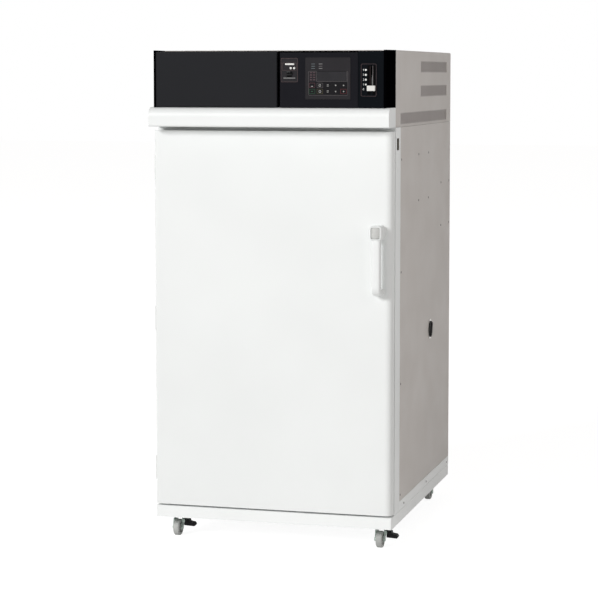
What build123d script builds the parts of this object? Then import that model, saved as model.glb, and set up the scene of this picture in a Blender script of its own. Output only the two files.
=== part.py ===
import os
from math import radians, sin

from build123d import *

os.makedirs("parts", exist_ok=True)

# A tall laboratory oven on casters. X to the right, the door faces -Y, Z up, floor at 0.

# sheet metal
sheet = 1.5
frame_sheet = 2
base_wall = 3
return_w = 12               # folded edge of a panel
seam = 1.0                  # gap between neighbouring panels
fit = 0.3                   # clearance of a loose fit
weld = 0.1                  # gap between sheets that are spot welded
run = 0.05                  # radial clearance of a shaft in its bore

# heated chamber, and the air path behind its baffle
cavity_w = 600
cavity_h = 1000
baffle_at = 654             # baffle from the chamber mouth
filter_gap = 4
filter_t = 50
fan_gap = 8
fan_w = 40
fan_back = 11.5             # fan to the chamber's back wall
cavity_d = baffle_at + sheet + filter_gap + filter_t + fan_gap + fan_w + fan_back

# walls round the chamber, as far as the outer faces
wall_w = 125
sill_h = 163                # lower edge of the door to the chamber floor
lintel_h = 154              # chamber top to the upper edge of the door
rear_d = 205

# door
door_t = 36
seal_gap = 8
door_r = 24                 # right front edge
door_left_r = 8
plug_gap = 6
plug_d = 40
gasket_w = 18
gasket_in = 14              # gasket inside edge from the chamber mouth

# overall plan
width = cavity_w + 2 * wall_w
depth = door_t + seal_gap + frame_sheet + cavity_d + rear_d   # door face to the back of the rear panel
y_face = -depth / 2
y_rear = depth / 2

# heights, stacked from the floor
caster_h = 80
plinth_h = 41
strip_h = 33
door_gap = 6
door_h = sill_h + cavity_h + lintel_h
visor_gap = 14
visor_h = 67
fascia_h = 191
cheek_rise = 4

# depths, stacked from the door face
frame_strip = 82            # front frame seen from the side
handle_out = 65
exhaust_out = 65
visor_out = 62
fascia_out = 44

base_z = caster_h
deck_z = base_z + plinth_h
side_z = deck_z + strip_h
door_z = deck_z + door_gap
door_top = door_z + door_h
head_z = door_top + visor_gap
fascia_z = head_z + visor_h
fascia_top = fascia_z + fascia_h
top_z = fascia_top + cheek_rise
panel_top = head_z - seam
frame_y = y_face + door_t + seal_gap
side_y = frame_y + frame_strip
back_y = y_rear - frame_sheet

# the chamber's place behind the front frame
cavity_z = door_z + sill_h
cavity_y = frame_y + frame_sheet
cavity_back = cavity_y + cavity_d
cavity_top = cavity_z + cavity_h
baffle_y = cavity_y + baffle_at
plenum_mid_z = cavity_z + cavity_h / 2
flange_w = 20

# insulation around the chamber
side_air = 15               # air gap behind the side panels
rear_wool = 70
wool_back = cavity_back + sheet + rear_wool
wool_top = head_z - 12
wool_half = width / 2 - frame_sheet - side_air

# casters
wheel_r = 29
wheel_w = 22
caster_x = 369
caster_front = 97           # swivel axis behind the door face
caster_rear = 89            # swivel axis ahead of the rear panel
trail = 22
kingpin_r = 5
axle_r = 4
cheek_t = 2.5
tyre_t = 10
pedal_len = 40

# hinges on the left edge
hinge_h = 85
hinge_r = 4.5
hinge_pin_r = 2.2
hinge_zs = (254, 784, 1314)
leaf_t = 3
leaf_d = 32
hinge_x = -width / 2 - hinge_r
hinge_y = y_face + door_t + seal_gap / 2

# handle and latch
handle_in = 46              # centre line from the right edge of the door
handle_w = 45
handle_top = 1128
handle_h = 240
block_h = 50
grip_w = 32
grip_t = 24
foot_h = 22
button_w = 31
button_h = 38
button_t = 12
button_out = 3
button_travel = 5
stem_r = 4
latch_throw = 12            # degrees, at the full travel of the button
arm_h = 28                  # push stem above the lever's pivot
lever_t = 5
lever_w = 12
nose_h = 5
keeper_r = 3
keeper_gap = 0.5

# fascia, seen from the front
fascia_in = 14
cheek_t_front = 7.4
fascia_back = 20            # depth of the front covers
gap_w = 10.7                # shadow gap beside the left cover
centre_drop = 5
plate_gap = 0.6
cover_t = 2

# controls, from left to right
breaker_left = 3
breaker_w = 60
breaker_h = 82
breaker_low = 86
toggle_r = 7
unit_gap = 26.3
unit_w = 158
unit_h = 142
unit_low = 28
unit_right = 26
bezel_out = 1.5
centre_w = breaker_left + breaker_w + unit_gap + unit_w + unit_right
scale_left = 10
scale_w = 56
scale_h = 112
scale_low = 39
scale_right = 22.6
damper_w = scale_left + scale_w + scale_right
slot_in = 36                # slider slot from the left edge of the scale
knob_w = 28
knob_h = 18
knob_low = 57
knob_travel = 73
slot_w = 6

head_r = 6                  # upper edges of the head

# vents in the side of the head
vent_h = 40
vent_pitch = 15
vent_slot = 6
vent_back = 940             # rear end of all bands, from the door face
vents = ((120, 8), (459, 100), (459, 187))   # front end from the door face, height above the head's edge

# cable port in the right side
port_y = y_face + 645
port_z = 697
port_r = 26
port_wall = 2
port_flange_r = 36
port_flange_t = 2
plug_out = 7
plug_len = 45

# circulation fan and exhaust
fan_r = 125
blades = 18
shaft_r = 6
motor_r = 62
motor_l = 95
motor_plate = 180
motor_plate_t = 4
exhaust_in = 225            # from the left edge of the rear panel
exhaust_drop = 80           # below the chamber top
exhaust_r = 25
exhaust_wall = 2
flap_t = 2
flap_back = 30              # flap axis behind the rear panel
flap_pin_r = 2.5
exhaust_x = -width / 2 + exhaust_in
exhaust_z = cavity_top - exhaust_drop

# shelves
shelf_rise = (270, 590)     # above the chamber floor
shelf_zs = [cavity_z + rise for rise in shelf_rise]
shelf_t = 2
shelf_side = 14             # shelf edge to the chamber wall
shelf_travel = 30           # free way behind the closed door
rail_w = 22
upright_t = 6
upright_in = 100            # rear uprights ahead of the rails' rear ends


def front_plane(y):
    # a sketch plane facing the viewer, at depth y
    return Plane.XZ.offset(-y)


def slab(x, y, z, mode=Mode.ADD):
    # a block given by its two ends along each axis
    with Locations(((x[0] + x[1]) / 2, (y[0] + y[1]) / 2, (z[0] + z[1]) / 2)):
        Box(x[1] - x[0], y[1] - y[0], z[1] - z[0], mode=mode)


def rod_x(x, y, z, r, mode=Mode.ADD):
    with Locations(Location(((x[0] + x[1]) / 2, y, z), (0, 90, 0))):
        Cylinder(r, x[1] - x[0], mode=mode)


def rod_y(x, y, z, r, mode=Mode.ADD):
    with Locations(Location((x, (y[0] + y[1]) / 2, z), (90, 0, 0))):
        Cylinder(r, y[1] - y[0], mode=mode)


def rod_z(x, y, z, r, mode=Mode.ADD):
    with Locations((x, y, (z[0] + z[1]) / 2)):
        Cylinder(r, z[1] - z[0], mode=mode)


def save(piece, name):
    piece.part.label = name
    export_step(piece.part, f"parts/{name}.step")


# base tray with the plinth in front, its deck on top and the side strips above it
with BuildPart() as base_frame:
    with BuildSketch(Plane.XY.offset(base_z)):
        RectangleRounded(width, depth, 4)
    extrude(amount=plinth_h)
    with BuildSketch(Plane.XY.offset(base_z)):
        Rectangle(width - 2 * base_wall, depth - 2 * base_wall)
    extrude(amount=plinth_h - base_wall, mode=Mode.SUBTRACT)
    # upright strips under the side and rear panels
    strip_l = y_rear - side_y
    with BuildSketch(Plane.XY.offset(deck_z)):
        with Locations((0, y_rear - strip_l / 2)):
            Rectangle(width, strip_l)
        with Locations((0, y_rear - base_wall - strip_l / 2)):
            Rectangle(width - 2 * base_wall, strip_l, mode=Mode.SUBTRACT)
    extrude(amount=strip_h - seam)
    # seam line round the sides
    for side in (-1, 1):
        slab(sorted((side * (width / 2 - 1.2), side * (width / 2 + 1))), (y_face + 6, y_rear + 1),
             (deck_z - 2, deck_z + 0.5), Mode.SUBTRACT)
    # corner pads for the casters, and two cross members
    for side in (-1, 1):
        for y in (y_face + caster_front, y_rear - caster_rear):
            slab(sorted((side * (caster_x - 54), side * (width / 2 - base_wall))), (y - 60, y + 60),
                 (base_z, base_z + 5))
            slab(sorted((side * (caster_x - 54), side * (caster_x - 51))), (y - 60, y + 60),
                 (base_z, deck_z - base_wall))
    for y in (y_face + depth / 3, y_rear - depth / 3):
        slab((-width / 2 + base_wall, width / 2 - base_wall), (y - 15, y + 15),
             (base_z + 8, deck_z - base_wall))
save(base_frame, "base_frame")

# caster top plates: plate, bearing race and kingpin with its head
caster_spots = {
    "front_left": (-caster_x, y_face + caster_front, -90),
    "front_right": (caster_x, y_face + caster_front, -90),
    "rear_left": (-caster_x, y_rear - caster_rear, -90),
    "rear_right": (caster_x, y_rear - caster_rear, -90),
}
plate_t = 3
race_r = 21
race_z = 2 * wheel_r + 8.5
crown_t = 3
with BuildPart() as caster_plates:
    with Locations(*[(x, y, base_z - plate_t / 2) for x, y, a in caster_spots.values()]):
        Box(84, 92, plate_t)
    for x, y, a in caster_spots.values():
        rod_z(x, y, (race_z, base_z - plate_t), race_r)
        rod_z(x, y, (race_z - crown_t - fit - 1, race_z), kingpin_r)
        rod_z(x, y, (race_z - crown_t - fit - 3.5, race_z - crown_t - 2 * fit), kingpin_r + 2.5)
    for x, y, a in caster_spots.values():
        with Locations(Location((x, y, base_z - plate_t))):
            with GridLocations(62, 74, 2, 2):
                Cylinder(4.5, 7, align=(Align.CENTER, Align.CENTER, Align.MAX))
save(caster_plates, "caster_plates")


# swivel fork: crown plate, two pressed cheeks and the axle bolt, wheel trailing along +X
fork_half = wheel_w / 2 + 2
pedal_x = 8
pedal_z = race_z - 14
pedal_pin_r = 2
pedal_eye = 5
pedal_room = 1.4            # eye to the outer cheek
pin_y = fork_half + cheek_t + pedal_eye + pedal_room
dome_r = 20.5               # round crown of the fork, wider than its cheeks
dome_h = 5


def fork(brake):
    with BuildPart() as body:
        # cheeks, drawn from the side
        with BuildSketch(Plane.XZ.offset(-fork_half - cheek_t)):
            with Locations((0, race_z - fit - 9)):
                Rectangle(36, 18)
            with Locations((trail, wheel_r)):
                Circle(9)
            make_hull()
        extrude(amount=2 * (fork_half + cheek_t))
        with Locations((0, 0, race_z - fit - dome_h / 2)):
            Cone(dome_r, dome_r - 3, dome_h)
        slab((-30, trail + wheel_r + 6), (-fork_half, fork_half), (0, race_z - fit - crown_t), Mode.SUBTRACT)
        rod_z(0, 0, (race_z - 10, race_z), kingpin_r + run, Mode.SUBTRACT)
        rod_y(trail, (-fork_half - cheek_t - 4, fork_half + cheek_t + 3), wheel_r, axle_r)
        rod_y(trail, (-fork_half - cheek_t - 4, -fork_half - cheek_t), wheel_r, axle_r + 3.5)
        rod_y(trail, (fork_half + cheek_t, fork_half + cheek_t + 3), wheel_r, axle_r + 3)
        if brake:
            # ears that carry the pedal on the outer cheek
            for x in (pedal_x - 14, pedal_x + 14):
                with Locations((x, fork_half + cheek_t + 4, pedal_z)):
                    Box(3, 8, 12)
            rod_x((pedal_x - 15.5, pedal_x + 15.5), pin_y, pedal_z, pedal_pin_r)
    return body.part


with BuildPart(mode=Mode.PRIVATE) as wheel:
    # half section: bevelled tread, sunk web and hub
    with BuildSketch(Plane.XZ) as section:
        with Locations((wheel_r - tyre_t / 2, 0)):
            Rectangle(tyre_t, wheel_w)
        chamfer(section.vertices().group_by(Axis.X)[-1], 3)
        with Locations((wheel_r / 2, 0)):
            Rectangle(wheel_r - 6, wheel_w - 8)
        with Locations((axle_r + run + 4, 0)):
            Rectangle(8, wheel_w + 3)
    revolve(axis=Axis.Z)

with BuildPart(mode=Mode.PRIVATE) as pedal:
    # eye on the pin, arm, and the wide foot pad with its toe turned up
    with BuildSketch(Plane.YZ.offset(pedal_x - 12)):
        with Locations((pin_y, pedal_z)):
            Circle(pedal_eye)
        with BuildLine():
            Polyline((pin_y, pedal_z + 5), (pin_y + 17, pedal_z + 5), (pin_y + 19, pedal_z - 3),
                     (pin_y + pedal_len - 4, pedal_z - 6), (pin_y + pedal_len, pedal_z - 13),
                     (pin_y + pedal_len - 3, pedal_z - 19), (pin_y, pedal_z - 17), (pin_y, pedal_z + 5))
        make_face()
    extrude(amount=24)
    rod_x((pedal_x - 13, pedal_x + 13), pin_y, pedal_z, pedal_pin_r + run, Mode.SUBTRACT)
    # room for the cheek behind the eye
    slab((pedal_x - 14, pedal_x + 14), (0, fork_half + cheek_t + fit), (0, race_z), Mode.SUBTRACT)

for name, (x, y, a) in caster_spots.items():
    brake = name.startswith("front")
    place = Location((x, y, 0), (0, 0, a))
    with BuildPart() as caster_fork:
        with Locations(place):
            add(fork(brake))
    save(caster_fork, f"caster_fork_{name}")
    with BuildPart() as caster_wheel:
        with Locations(place * Location((trail, 0, wheel_r), (90, 0, 0))):
            add(wheel.part)
        hub = place * Location((trail, 0, wheel_r), (90, 0, 0))
        with Locations(hub):
            Cylinder(axle_r + run, wheel_w + 6, mode=Mode.SUBTRACT)
    save(caster_wheel, f"caster_wheel_{name}")
    if brake:
        with BuildPart() as brake_pedal:
            with Locations(place):
                add(pedal.part)
        save(brake_pedal, f"brake_pedal_{name}")

# latch positions, shared by the door and the frame
latch_x = width / 2 - handle_in
button_z = handle_top - block_h / 2 + 1
lever_z = button_z - arm_h
pivot_y = y_face + 16
nose_y = frame_y + 6
nose_top = lever_z + lever_t / 2 + nose_h
tongue_end = nose_y + 14
nose_drop = (tongue_end - pivot_y) * sin(radians(latch_throw)) + lever_t + 4

# front frame: a plate with the chamber mouth, and welded behind it on each side a long strip and a
# short one above it, which leaves a hand slot between them
slot_y = (y_face + 67, y_face + 103)
slot_z = (1379, 1420)
with BuildPart() as front_frame:
    slab((-width / 2, width / 2), (frame_y, cavity_y), (deck_z, panel_top))
    slab((-cavity_w / 2, cavity_w / 2), (frame_y - 1, cavity_y + 1), (cavity_z, cavity_top), Mode.SUBTRACT)
    for side in (-1, 1):
        strip_x = sorted((side * (width / 2 - frame_sheet), side * width / 2))
        strip_y = (cavity_y + weld, side_y - seam)
        slab(strip_x, strip_y, (deck_z, slot_z[0]))
        slab(strip_x, strip_y, (slot_z[0] + weld, panel_top))
    slab((-width, width), slot_y, slot_z, Mode.SUBTRACT)
    # pass for the latch nose
    slab((latch_x - lever_w / 2 - 3, latch_x + lever_w / 2 + 3), (frame_y - 1, cavity_y + 1),
         (lever_z - nose_drop, nose_top + 3), Mode.SUBTRACT)
save(front_frame, "front_frame")

# strike behind the frame: two cheeks and the keeper pin above the latch nose
with BuildPart() as strike:
    keeper_z = nose_top + keeper_gap + keeper_r
    for side in (-1, 1):
        x = latch_x + side * (lever_w / 2 + 6)
        slab((x - 1.5, x + 1.5), (cavity_y, cavity_y + 22), (lever_z - 22, keeper_z + 8))
        foot = sorted((x, x + side * 14))
        slab(foot, (cavity_y, cavity_y + 2), (lever_z - 22, keeper_z + 8))
    rod_x((latch_x - lever_w / 2 - 7, latch_x + lever_w / 2 + 7), nose_y + 6, keeper_z, keeper_r)
save(strike, "strike")

# stainless chamber: an open-fronted box with a flange round its mouth
with BuildPart() as inner_chamber:
    with BuildSketch(front_plane(cavity_y)):
        with Locations((0, plenum_mid_z)):
            Rectangle(cavity_w + 2 * sheet, cavity_h + 2 * sheet)
    extrude(amount=-cavity_d - sheet)
    with BuildSketch(front_plane(cavity_y)):
        with Locations((0, plenum_mid_z)):
            Rectangle(cavity_w + 2 * flange_w, cavity_h + 2 * flange_w)
    extrude(amount=-sheet)
    with BuildSketch(front_plane(cavity_y)):
        with Locations((0, plenum_mid_z)):
            Rectangle(cavity_w, cavity_h)
    extrude(amount=-cavity_d, mode=Mode.SUBTRACT)
    rod_x((cavity_w / 2 - 1, cavity_w / 2 + sheet + 1), port_y, port_z, port_r, Mode.SUBTRACT)
    rod_y(exhaust_x, (cavity_back - 1, cavity_back + sheet + 1), exhaust_z,
          exhaust_r - exhaust_wall, Mode.SUBTRACT)
    rod_y(0, (cavity_back - 1, cavity_back + sheet + 1), plenum_mid_z, shaft_r + 4, Mode.SUBTRACT)
save(inner_chamber, "inner_chamber")

# mineral wool block round the chamber
with BuildPart() as insulation:
    slab((-wool_half, wool_half), (cavity_y + sheet + fit, wool_back), (deck_z, wool_top))
    slab((-cavity_w / 2 - sheet, cavity_w / 2 + sheet), (cavity_y, cavity_back + sheet),
         (cavity_z - sheet, cavity_top + sheet), Mode.SUBTRACT)
    rod_x((0, wool_half + 1), port_y, port_z, port_r, Mode.SUBTRACT)
    rod_y(exhaust_x, (cavity_back, wool_back + 1), exhaust_z, exhaust_r, Mode.SUBTRACT)
    rod_y(0, (cavity_back, wool_back + 1), plenum_mid_z, shaft_r + 4, Mode.SUBTRACT)
    # pocket for the strike
    slab((latch_x - 26, latch_x + 26), (cavity_y, cavity_y + 30), (lever_z - 30, lever_z + 34), Mode.SUBTRACT)
save(insulation, "insulation")

# side panels: shallow pans with folded edges, the right one with the port hole
for side, name in ((-1, "side_panel_left"), (1, "side_panel_right")):
    with BuildPart() as side_panel:
        with BuildSketch(Plane.YZ.offset(side * width / 2)):
            with Locations(((side_y + back_y) / 2, (side_z + panel_top) / 2)):
                Rectangle(back_y - side_y, panel_top - side_z)
        extrude(amount=-side * return_w)
        inner_face = side_panel.faces().sort_by(Axis.X)[0 if side > 0 else -1]
        offset(amount=-sheet, openings=inner_face)
        if side > 0:
            rod_x((width / 2 - 5, width / 2 + 5), port_y, port_z, port_r, Mode.SUBTRACT)
    save(side_panel, name)

# rear panel with vent slots round the motor, and holes for the exhaust and the gland
gland_in = 125
gland_rise = 86
gland_x = width / 2 - gland_in
gland_z = side_z + gland_rise
gland_r = 11
with BuildPart() as rear_panel:
    slab((-width / 2, width / 2), (back_y, y_rear), (side_z, panel_top))
    with Locations(front_plane(back_y) * Location((0, plenum_mid_z, 0))):
        with GridLocations(34, 70, 9, 4):
            Box(8, 50, 20, mode=Mode.SUBTRACT)
    rod_y(exhaust_x, (back_y - 1, y_rear + 1), exhaust_z, exhaust_r, Mode.SUBTRACT)
    rod_y(gland_x, (back_y - 1, y_rear + 1), gland_z, gland_r + fit, Mode.SUBTRACT)
save(rear_panel, "rear_panel")

# cable gland: threaded body, hexagon and domed clamping nut
with BuildPart() as cable_gland:
    rod_y(gland_x, (back_y - 12, y_rear), gland_z, gland_r)
    with BuildSketch(front_plane(y_rear)):
        with Locations((gland_x, gland_z)):
            RegularPolygon(16, 6)
    extrude(amount=-8)
    with BuildSketch(front_plane(y_rear + 8)):
        with Locations((gland_x, gland_z)):
            Circle(12)
    extrude(amount=-16, taper=14)
    rod_y(gland_x, (back_y - 13, y_rear + 25), gland_z, 5, Mode.SUBTRACT)
save(cable_gland, "cable_gland")

# exhaust pipe from the plenum through the rear, with a flange on the panel
flap_y = y_rear + flap_back
with BuildPart() as exhaust_port:
    rod_y(exhaust_x, (cavity_back + sheet, y_rear + exhaust_out), exhaust_z, exhaust_r)
    rod_y(exhaust_x, (y_rear, y_rear + 2.5), exhaust_z, exhaust_r + 16)
    rod_y(exhaust_x, (cavity_back, y_rear + exhaust_out + 1), exhaust_z,
          exhaust_r - exhaust_wall, Mode.SUBTRACT)
    rod_x((exhaust_x - exhaust_r - 1, exhaust_x + exhaust_r + 1), flap_y, exhaust_z,
          flap_pin_r + run, Mode.SUBTRACT)
save(exhaust_port, "exhaust_port")

# butterfly flap in the pipe, closed at rest, on a pin that ends in the pipe wall
with BuildPart() as damper_flap:
    rod_y(exhaust_x, (flap_y - flap_t / 2, flap_y + flap_t / 2), exhaust_z,
          exhaust_r - exhaust_wall - 0.5)
    rod_x((exhaust_x - exhaust_r + 0.5, exhaust_x + exhaust_r - 0.5), flap_y, exhaust_z, flap_pin_r)
save(damper_flap, "damper_flap")

# perforated wall in front of the filter
with BuildPart() as rear_baffle:
    slab((-cavity_w / 2 + fit, cavity_w / 2 - fit), (baffle_y, baffle_y + sheet), (cavity_z, cavity_top - fit))
    with Locations(front_plane(baffle_y) * Location((0, plenum_mid_z, 0))):
        with GridLocations(54, 84, 9, 10):
            Box(26, 44, 10, mode=Mode.SUBTRACT)
save(rear_baffle, "rear_baffle")

# filter: a frame with a pleated pack set back from both faces
filter_y = baffle_y + sheet + filter_gap
pleats = 12
with BuildPart() as hepa_filter:
    slab((-cavity_w / 2 + 1, cavity_w / 2 - 1), (filter_y, filter_y + filter_t), (cavity_z, cavity_top - 2))
    for y in (filter_y - 1, filter_y + filter_t - 10):
        slab((-cavity_w / 2 + 21, cavity_w / 2 - 21), (y, y + 11), (cavity_z + 20, cavity_top - 22), Mode.SUBTRACT)
    pleat = (cavity_w - 60) / pleats
    for i in range(pleats):
        x = -cavity_w / 2 + 30 + pleat * (i + 0.5)
        slab((x - pleat / 5, x + pleat / 5), (filter_y + 3, filter_y + 11), (cavity_z + 19, cavity_top - 21))
save(hepa_filter, "hepa_filter")

# fan: back plate, hub, curved-back blades and a front ring, on a shaft to the motor
fan_y = filter_y + filter_t + fan_gap
fan_end = fan_y + fan_w
motor_y = wool_back
with BuildPart() as fan_wheel:
    with BuildSketch(front_plane(fan_end - 2)):
        with Locations((0, plenum_mid_z)):
            Circle(fan_r)
    extrude(amount=-2)
    with BuildSketch(front_plane(fan_y)):
        with Locations((0, plenum_mid_z)):
            Circle(fan_r)
            Circle(fan_r - 26, mode=Mode.SUBTRACT)
    extrude(amount=-2)
    with BuildSketch(front_plane(fan_y + 1)):
        with Locations((0, plenum_mid_z)):
            with PolarLocations(fan_r - 16, blades):
                Rectangle(28, 2, rotation=35)
    extrude(amount=-(fan_w - 2))
    rod_y(0, (fan_end - 24, fan_end), plenum_mid_z, shaft_r + 8)
    rod_y(0, (fan_end - 24, motor_y + motor_l - 20), plenum_mid_z, shaft_r)
save(fan_wheel, "fan_wheel")

# motor on a mounting plate behind the insulation
with BuildPart() as fan_motor:
    half = motor_plate / 2
    slab((-half, half), (motor_y, motor_y + motor_plate_t), (plenum_mid_z - half, plenum_mid_z + half))
    rod_y(0, (motor_y, motor_y + motor_l), plenum_mid_z, motor_r)
    slab((-30, 30), (motor_y + 20, motor_y + motor_l - 10), (plenum_mid_z + motor_r - 8, plenum_mid_z + motor_r + 26))
    rod_y(0, (motor_y - 1, motor_y + motor_l - 18), plenum_mid_z, shaft_r + run, Mode.SUBTRACT)
save(fan_motor, "fan_motor")

# heater bank beside the fan: sheathed rods between two end plates
heater_h = 400
heater_w = 90
heater_d = 44
heater_out = 65             # beside the fan wheel
rod_pitch = 30
rod_r = 4.5
end_t = 3
with BuildPart() as heater:
    for side in (-1, 1):
        x = side * (fan_r + heater_out)
        for z in (plenum_mid_z - heater_h / 2, plenum_mid_z + heater_h / 2 - end_t):
            slab((x - heater_w / 2, x + heater_w / 2), (cavity_back - heater_d, cavity_back), (z, z + end_t))
        with Locations((x, cavity_back - heater_d / 2 - 2, plenum_mid_z)):
            with GridLocations(rod_pitch, 1, 3, 1):
                Cylinder(rod_r, heater_h - end_t)
save(heater, "heater")

# sensor probe on a foot that is screwed to the baffle
probe_x = -cavity_w / 2 + 80
probe_z = cavity_top - 90
probe_l = 62
with BuildPart() as sensor_probe:
    rod_y(probe_x, (baffle_y - probe_l, baffle_y), probe_z, 3)
    rod_y(probe_x, (baffle_y - 4, baffle_y), probe_z, 11)
save(sensor_probe, "sensor_probe")

# shelf rails: two uprights and two angle rails on each side wall
rail_back = baffle_y - 30
rail_front = cavity_y + 60
with BuildPart() as shelf_rails:
    for side in (-1, 1):
        wall = side * cavity_w / 2
        for y in (rail_front + 40, rail_back - upright_in):
            slab(sorted((wall, wall - side * upright_t)), (y, y + 20), (cavity_z + 60, cavity_top - 60))
        for z in shelf_zs:
            slab(sorted((wall - side * upright_t, wall - side * (upright_t + 2))), (rail_front, rail_back),
                 (z - 4, z + 20))
            slab(sorted((wall - side * upright_t, wall - side * (upright_t + rail_w))),
                 (rail_front, rail_back), (z - 4, z - 2))
save(shelf_rails, "shelf_rails")

# punched shelves with turned-down edges, resting on the rails
shelf_y = y_face + door_t - sheet + plug_d + shelf_travel + 5
shelf_d = rail_back - shelf_y - 4
shelf_half = cavity_w / 2 - shelf_side
for z, name in zip(shelf_zs, ("shelf_lower", "shelf_upper")):
    with BuildPart() as shelf:
        slab((-shelf_half, shelf_half), (shelf_y, shelf_y + shelf_d), (z - 2 + fit, z - 2 + fit + shelf_t))
        # front and rear edges turned down between the rails
        for y in (shelf_y, shelf_y + shelf_d - sheet):
            slab((-cavity_w / 2 + upright_t + rail_w + 3, cavity_w / 2 - upright_t - rail_w - 3),
                 (y, y + sheet), (z - 16, z))
        with Locations((0, shelf_y + shelf_d / 2, z)):
            with GridLocations(74, 62, 7, 8):
                Box(52, 24, 20, mode=Mode.SUBTRACT)
    save(shelf, name)

# cable port: tube through the wall with a flange on the side panel
with BuildPart() as port_sleeve:
    rod_x((cavity_w / 2 - 1, width / 2), port_y, port_z, port_r)
    rod_x((width / 2, width / 2 + port_flange_t), port_y, port_z, port_flange_r)
    rod_x((cavity_w / 2 - 2, width / 2 + 5), port_y, port_z, port_r - port_wall, Mode.SUBTRACT)
save(port_sleeve, "port_sleeve")

# rubber plug with a raised grip bar across its head
plug_face = width / 2 + port_flange_t
with BuildPart() as port_plug:
    rod_x((plug_face - plug_len, plug_face), port_y, port_z, port_r - port_wall - fit)
    rod_x((plug_face + 0.1, plug_face + 3), port_y, port_z, port_r + 4)
    rod_x((plug_face, plug_face + 1), port_y, port_z, port_r - port_wall - fit)
    with BuildSketch(Plane.YZ.offset(plug_face + 3)):
        with Locations((port_y, port_z)):
            SlotOverall(2 * port_r, 14, rotation=70)
    extrude(amount=plug_out - 3)
save(port_plug, "port_plug")

# door skin: a deep pan with a large radius on its right edge
with BuildPart() as door_skin:
    with BuildSketch(Plane.XY.offset(door_z)) as door_plan:
        with Locations((0, y_face + door_t / 2)):
            Rectangle(width, door_t)
        front_corners = door_plan.vertices().group_by(Axis.Y)[0].sort_by(Axis.X)
        fillet(front_corners[-1], door_r)
        fillet(door_plan.vertices().group_by(Axis.Y)[0].sort_by(Axis.X)[0], door_left_r)
    extrude(amount=door_h)
    offset(amount=-sheet, openings=door_skin.faces().sort_by(Axis.Y)[-1])
    rod_y(latch_x, (y_face - 1, y_face + 3), button_z, stem_r + 0.6, Mode.SUBTRACT)
save(door_skin, "door_skin")

# door liner: back plate with a raised plug that enters the chamber mouth
liner_y = y_face + door_t - sheet
plug_half = cavity_w / 2 - plug_gap
liner_low = door_z + sheet + fit
liner_high = door_top - sheet - fit
with BuildPart() as door_liner:
    slab((-width / 2 + sheet + fit, width / 2 - sheet - fit), (liner_y, liner_y + sheet), (liner_low, liner_high))
    with BuildSketch(front_plane(liner_y)):
        with Locations((0, plenum_mid_z)):
            RectangleRounded(2 * plug_half, cavity_h - 2 * plug_gap, 6)
    extrude(amount=-plug_d, taper=2)
    fillet(door_liner.faces().sort_by(Axis.Y)[-1].edges(), 4)
    slab((-plug_half + 4, plug_half - 4), (liner_y - 1, liner_y + plug_d - 3),
         (cavity_z + plug_gap + 4, cavity_top - plug_gap - 4), Mode.SUBTRACT)
    slab((latch_x - lever_w / 2 - 3, latch_x + lever_w / 2 + 3), (liner_y - 1, liner_y + sheet + 1),
         (lever_z - nose_drop, nose_top + 3), Mode.SUBTRACT)
save(door_liner, "door_liner")

# insulation inside the door, cut away round the latch
with BuildPart() as door_core:
    with BuildSketch(Plane.XY.offset(door_z + sheet + fit)) as core_plan:
        with Locations((0, (y_face + liner_y + sheet + fit) / 2)):
            Rectangle(width - 2 * (sheet + fit), liner_y - y_face - sheet - fit)
        fillet(core_plan.vertices().group_by(Axis.Y)[0].sort_by(Axis.X)[-1], door_r - sheet)
        fillet(core_plan.vertices().group_by(Axis.Y)[0].sort_by(Axis.X)[0], door_left_r - sheet)
    extrude(amount=door_h - 2 * (sheet + fit))
    slab((-plug_half + 5, plug_half - 5), (liner_y - 1, liner_y + plug_d - 4),
         (cavity_z + plug_gap + 5, cavity_top - plug_gap - 5))
    slab((latch_x - 24, latch_x + 24), (y_face, liner_y + 1), (lever_z - 24, button_z + 14), Mode.SUBTRACT)
save(door_core, "door_core")

# silicone gasket round the plug, a rounded bead that stops just short of the frame
with BuildPart() as door_gasket:
    inner_w = cavity_w + 2 * gasket_in
    inner_h = cavity_h + 2 * gasket_in
    with BuildSketch(front_plane(y_face + door_t)):
        with Locations((0, plenum_mid_z)):
            RectangleRounded(inner_w + 2 * gasket_w, inner_h + 2 * gasket_w, 20)
            RectangleRounded(inner_w, inner_h, 6, mode=Mode.SUBTRACT)
    extrude(amount=-(seal_gap - fit))
    fillet(door_gasket.faces().sort_by(Axis.Y)[-1].edges(), 3)
save(door_gasket, "door_gasket")

# hinges: bracket leaf with two knuckles and the pin on the frame, middle knuckle on the door
third = hinge_h / 3
side_x = -width / 2
with BuildPart() as hinge_brackets:
    for z in hinge_zs:
        low, high = z - hinge_h / 2, z + hinge_h / 2
        slab((side_x - leaf_t, side_x), (hinge_y + hinge_r + fit, hinge_y + leaf_d), (low, high))
        for a, b in ((low, low + third - fit), (high - third + fit, high)):
            slab((side_x - leaf_t, side_x), (hinge_y, hinge_y + leaf_d), (a, b))
            rod_z(hinge_x, hinge_y, (a, b), hinge_r)
        rod_z(hinge_x, hinge_y, (low + 1, high - 1), hinge_pin_r)
save(hinge_brackets, "hinge_brackets")

with BuildPart() as hinge_knuckles:
    for z in hinge_zs:
        low, high = z - hinge_h / 2, z + hinge_h / 2
        a, b = low + third, high - third
        slab((side_x - leaf_t, side_x), (y_face + door_left_r + 2, hinge_y - hinge_r - fit), (low, high))
        slab((side_x - leaf_t, side_x), (hinge_y - hinge_r - 1, hinge_y), (a, b))
        rod_z(hinge_x, hinge_y, (a, b), hinge_r)
        rod_z(hinge_x, hinge_y, (low - 1, high + 1), hinge_pin_r + run, Mode.SUBTRACT)
save(hinge_knuckles, "hinge_knuckles")

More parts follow.
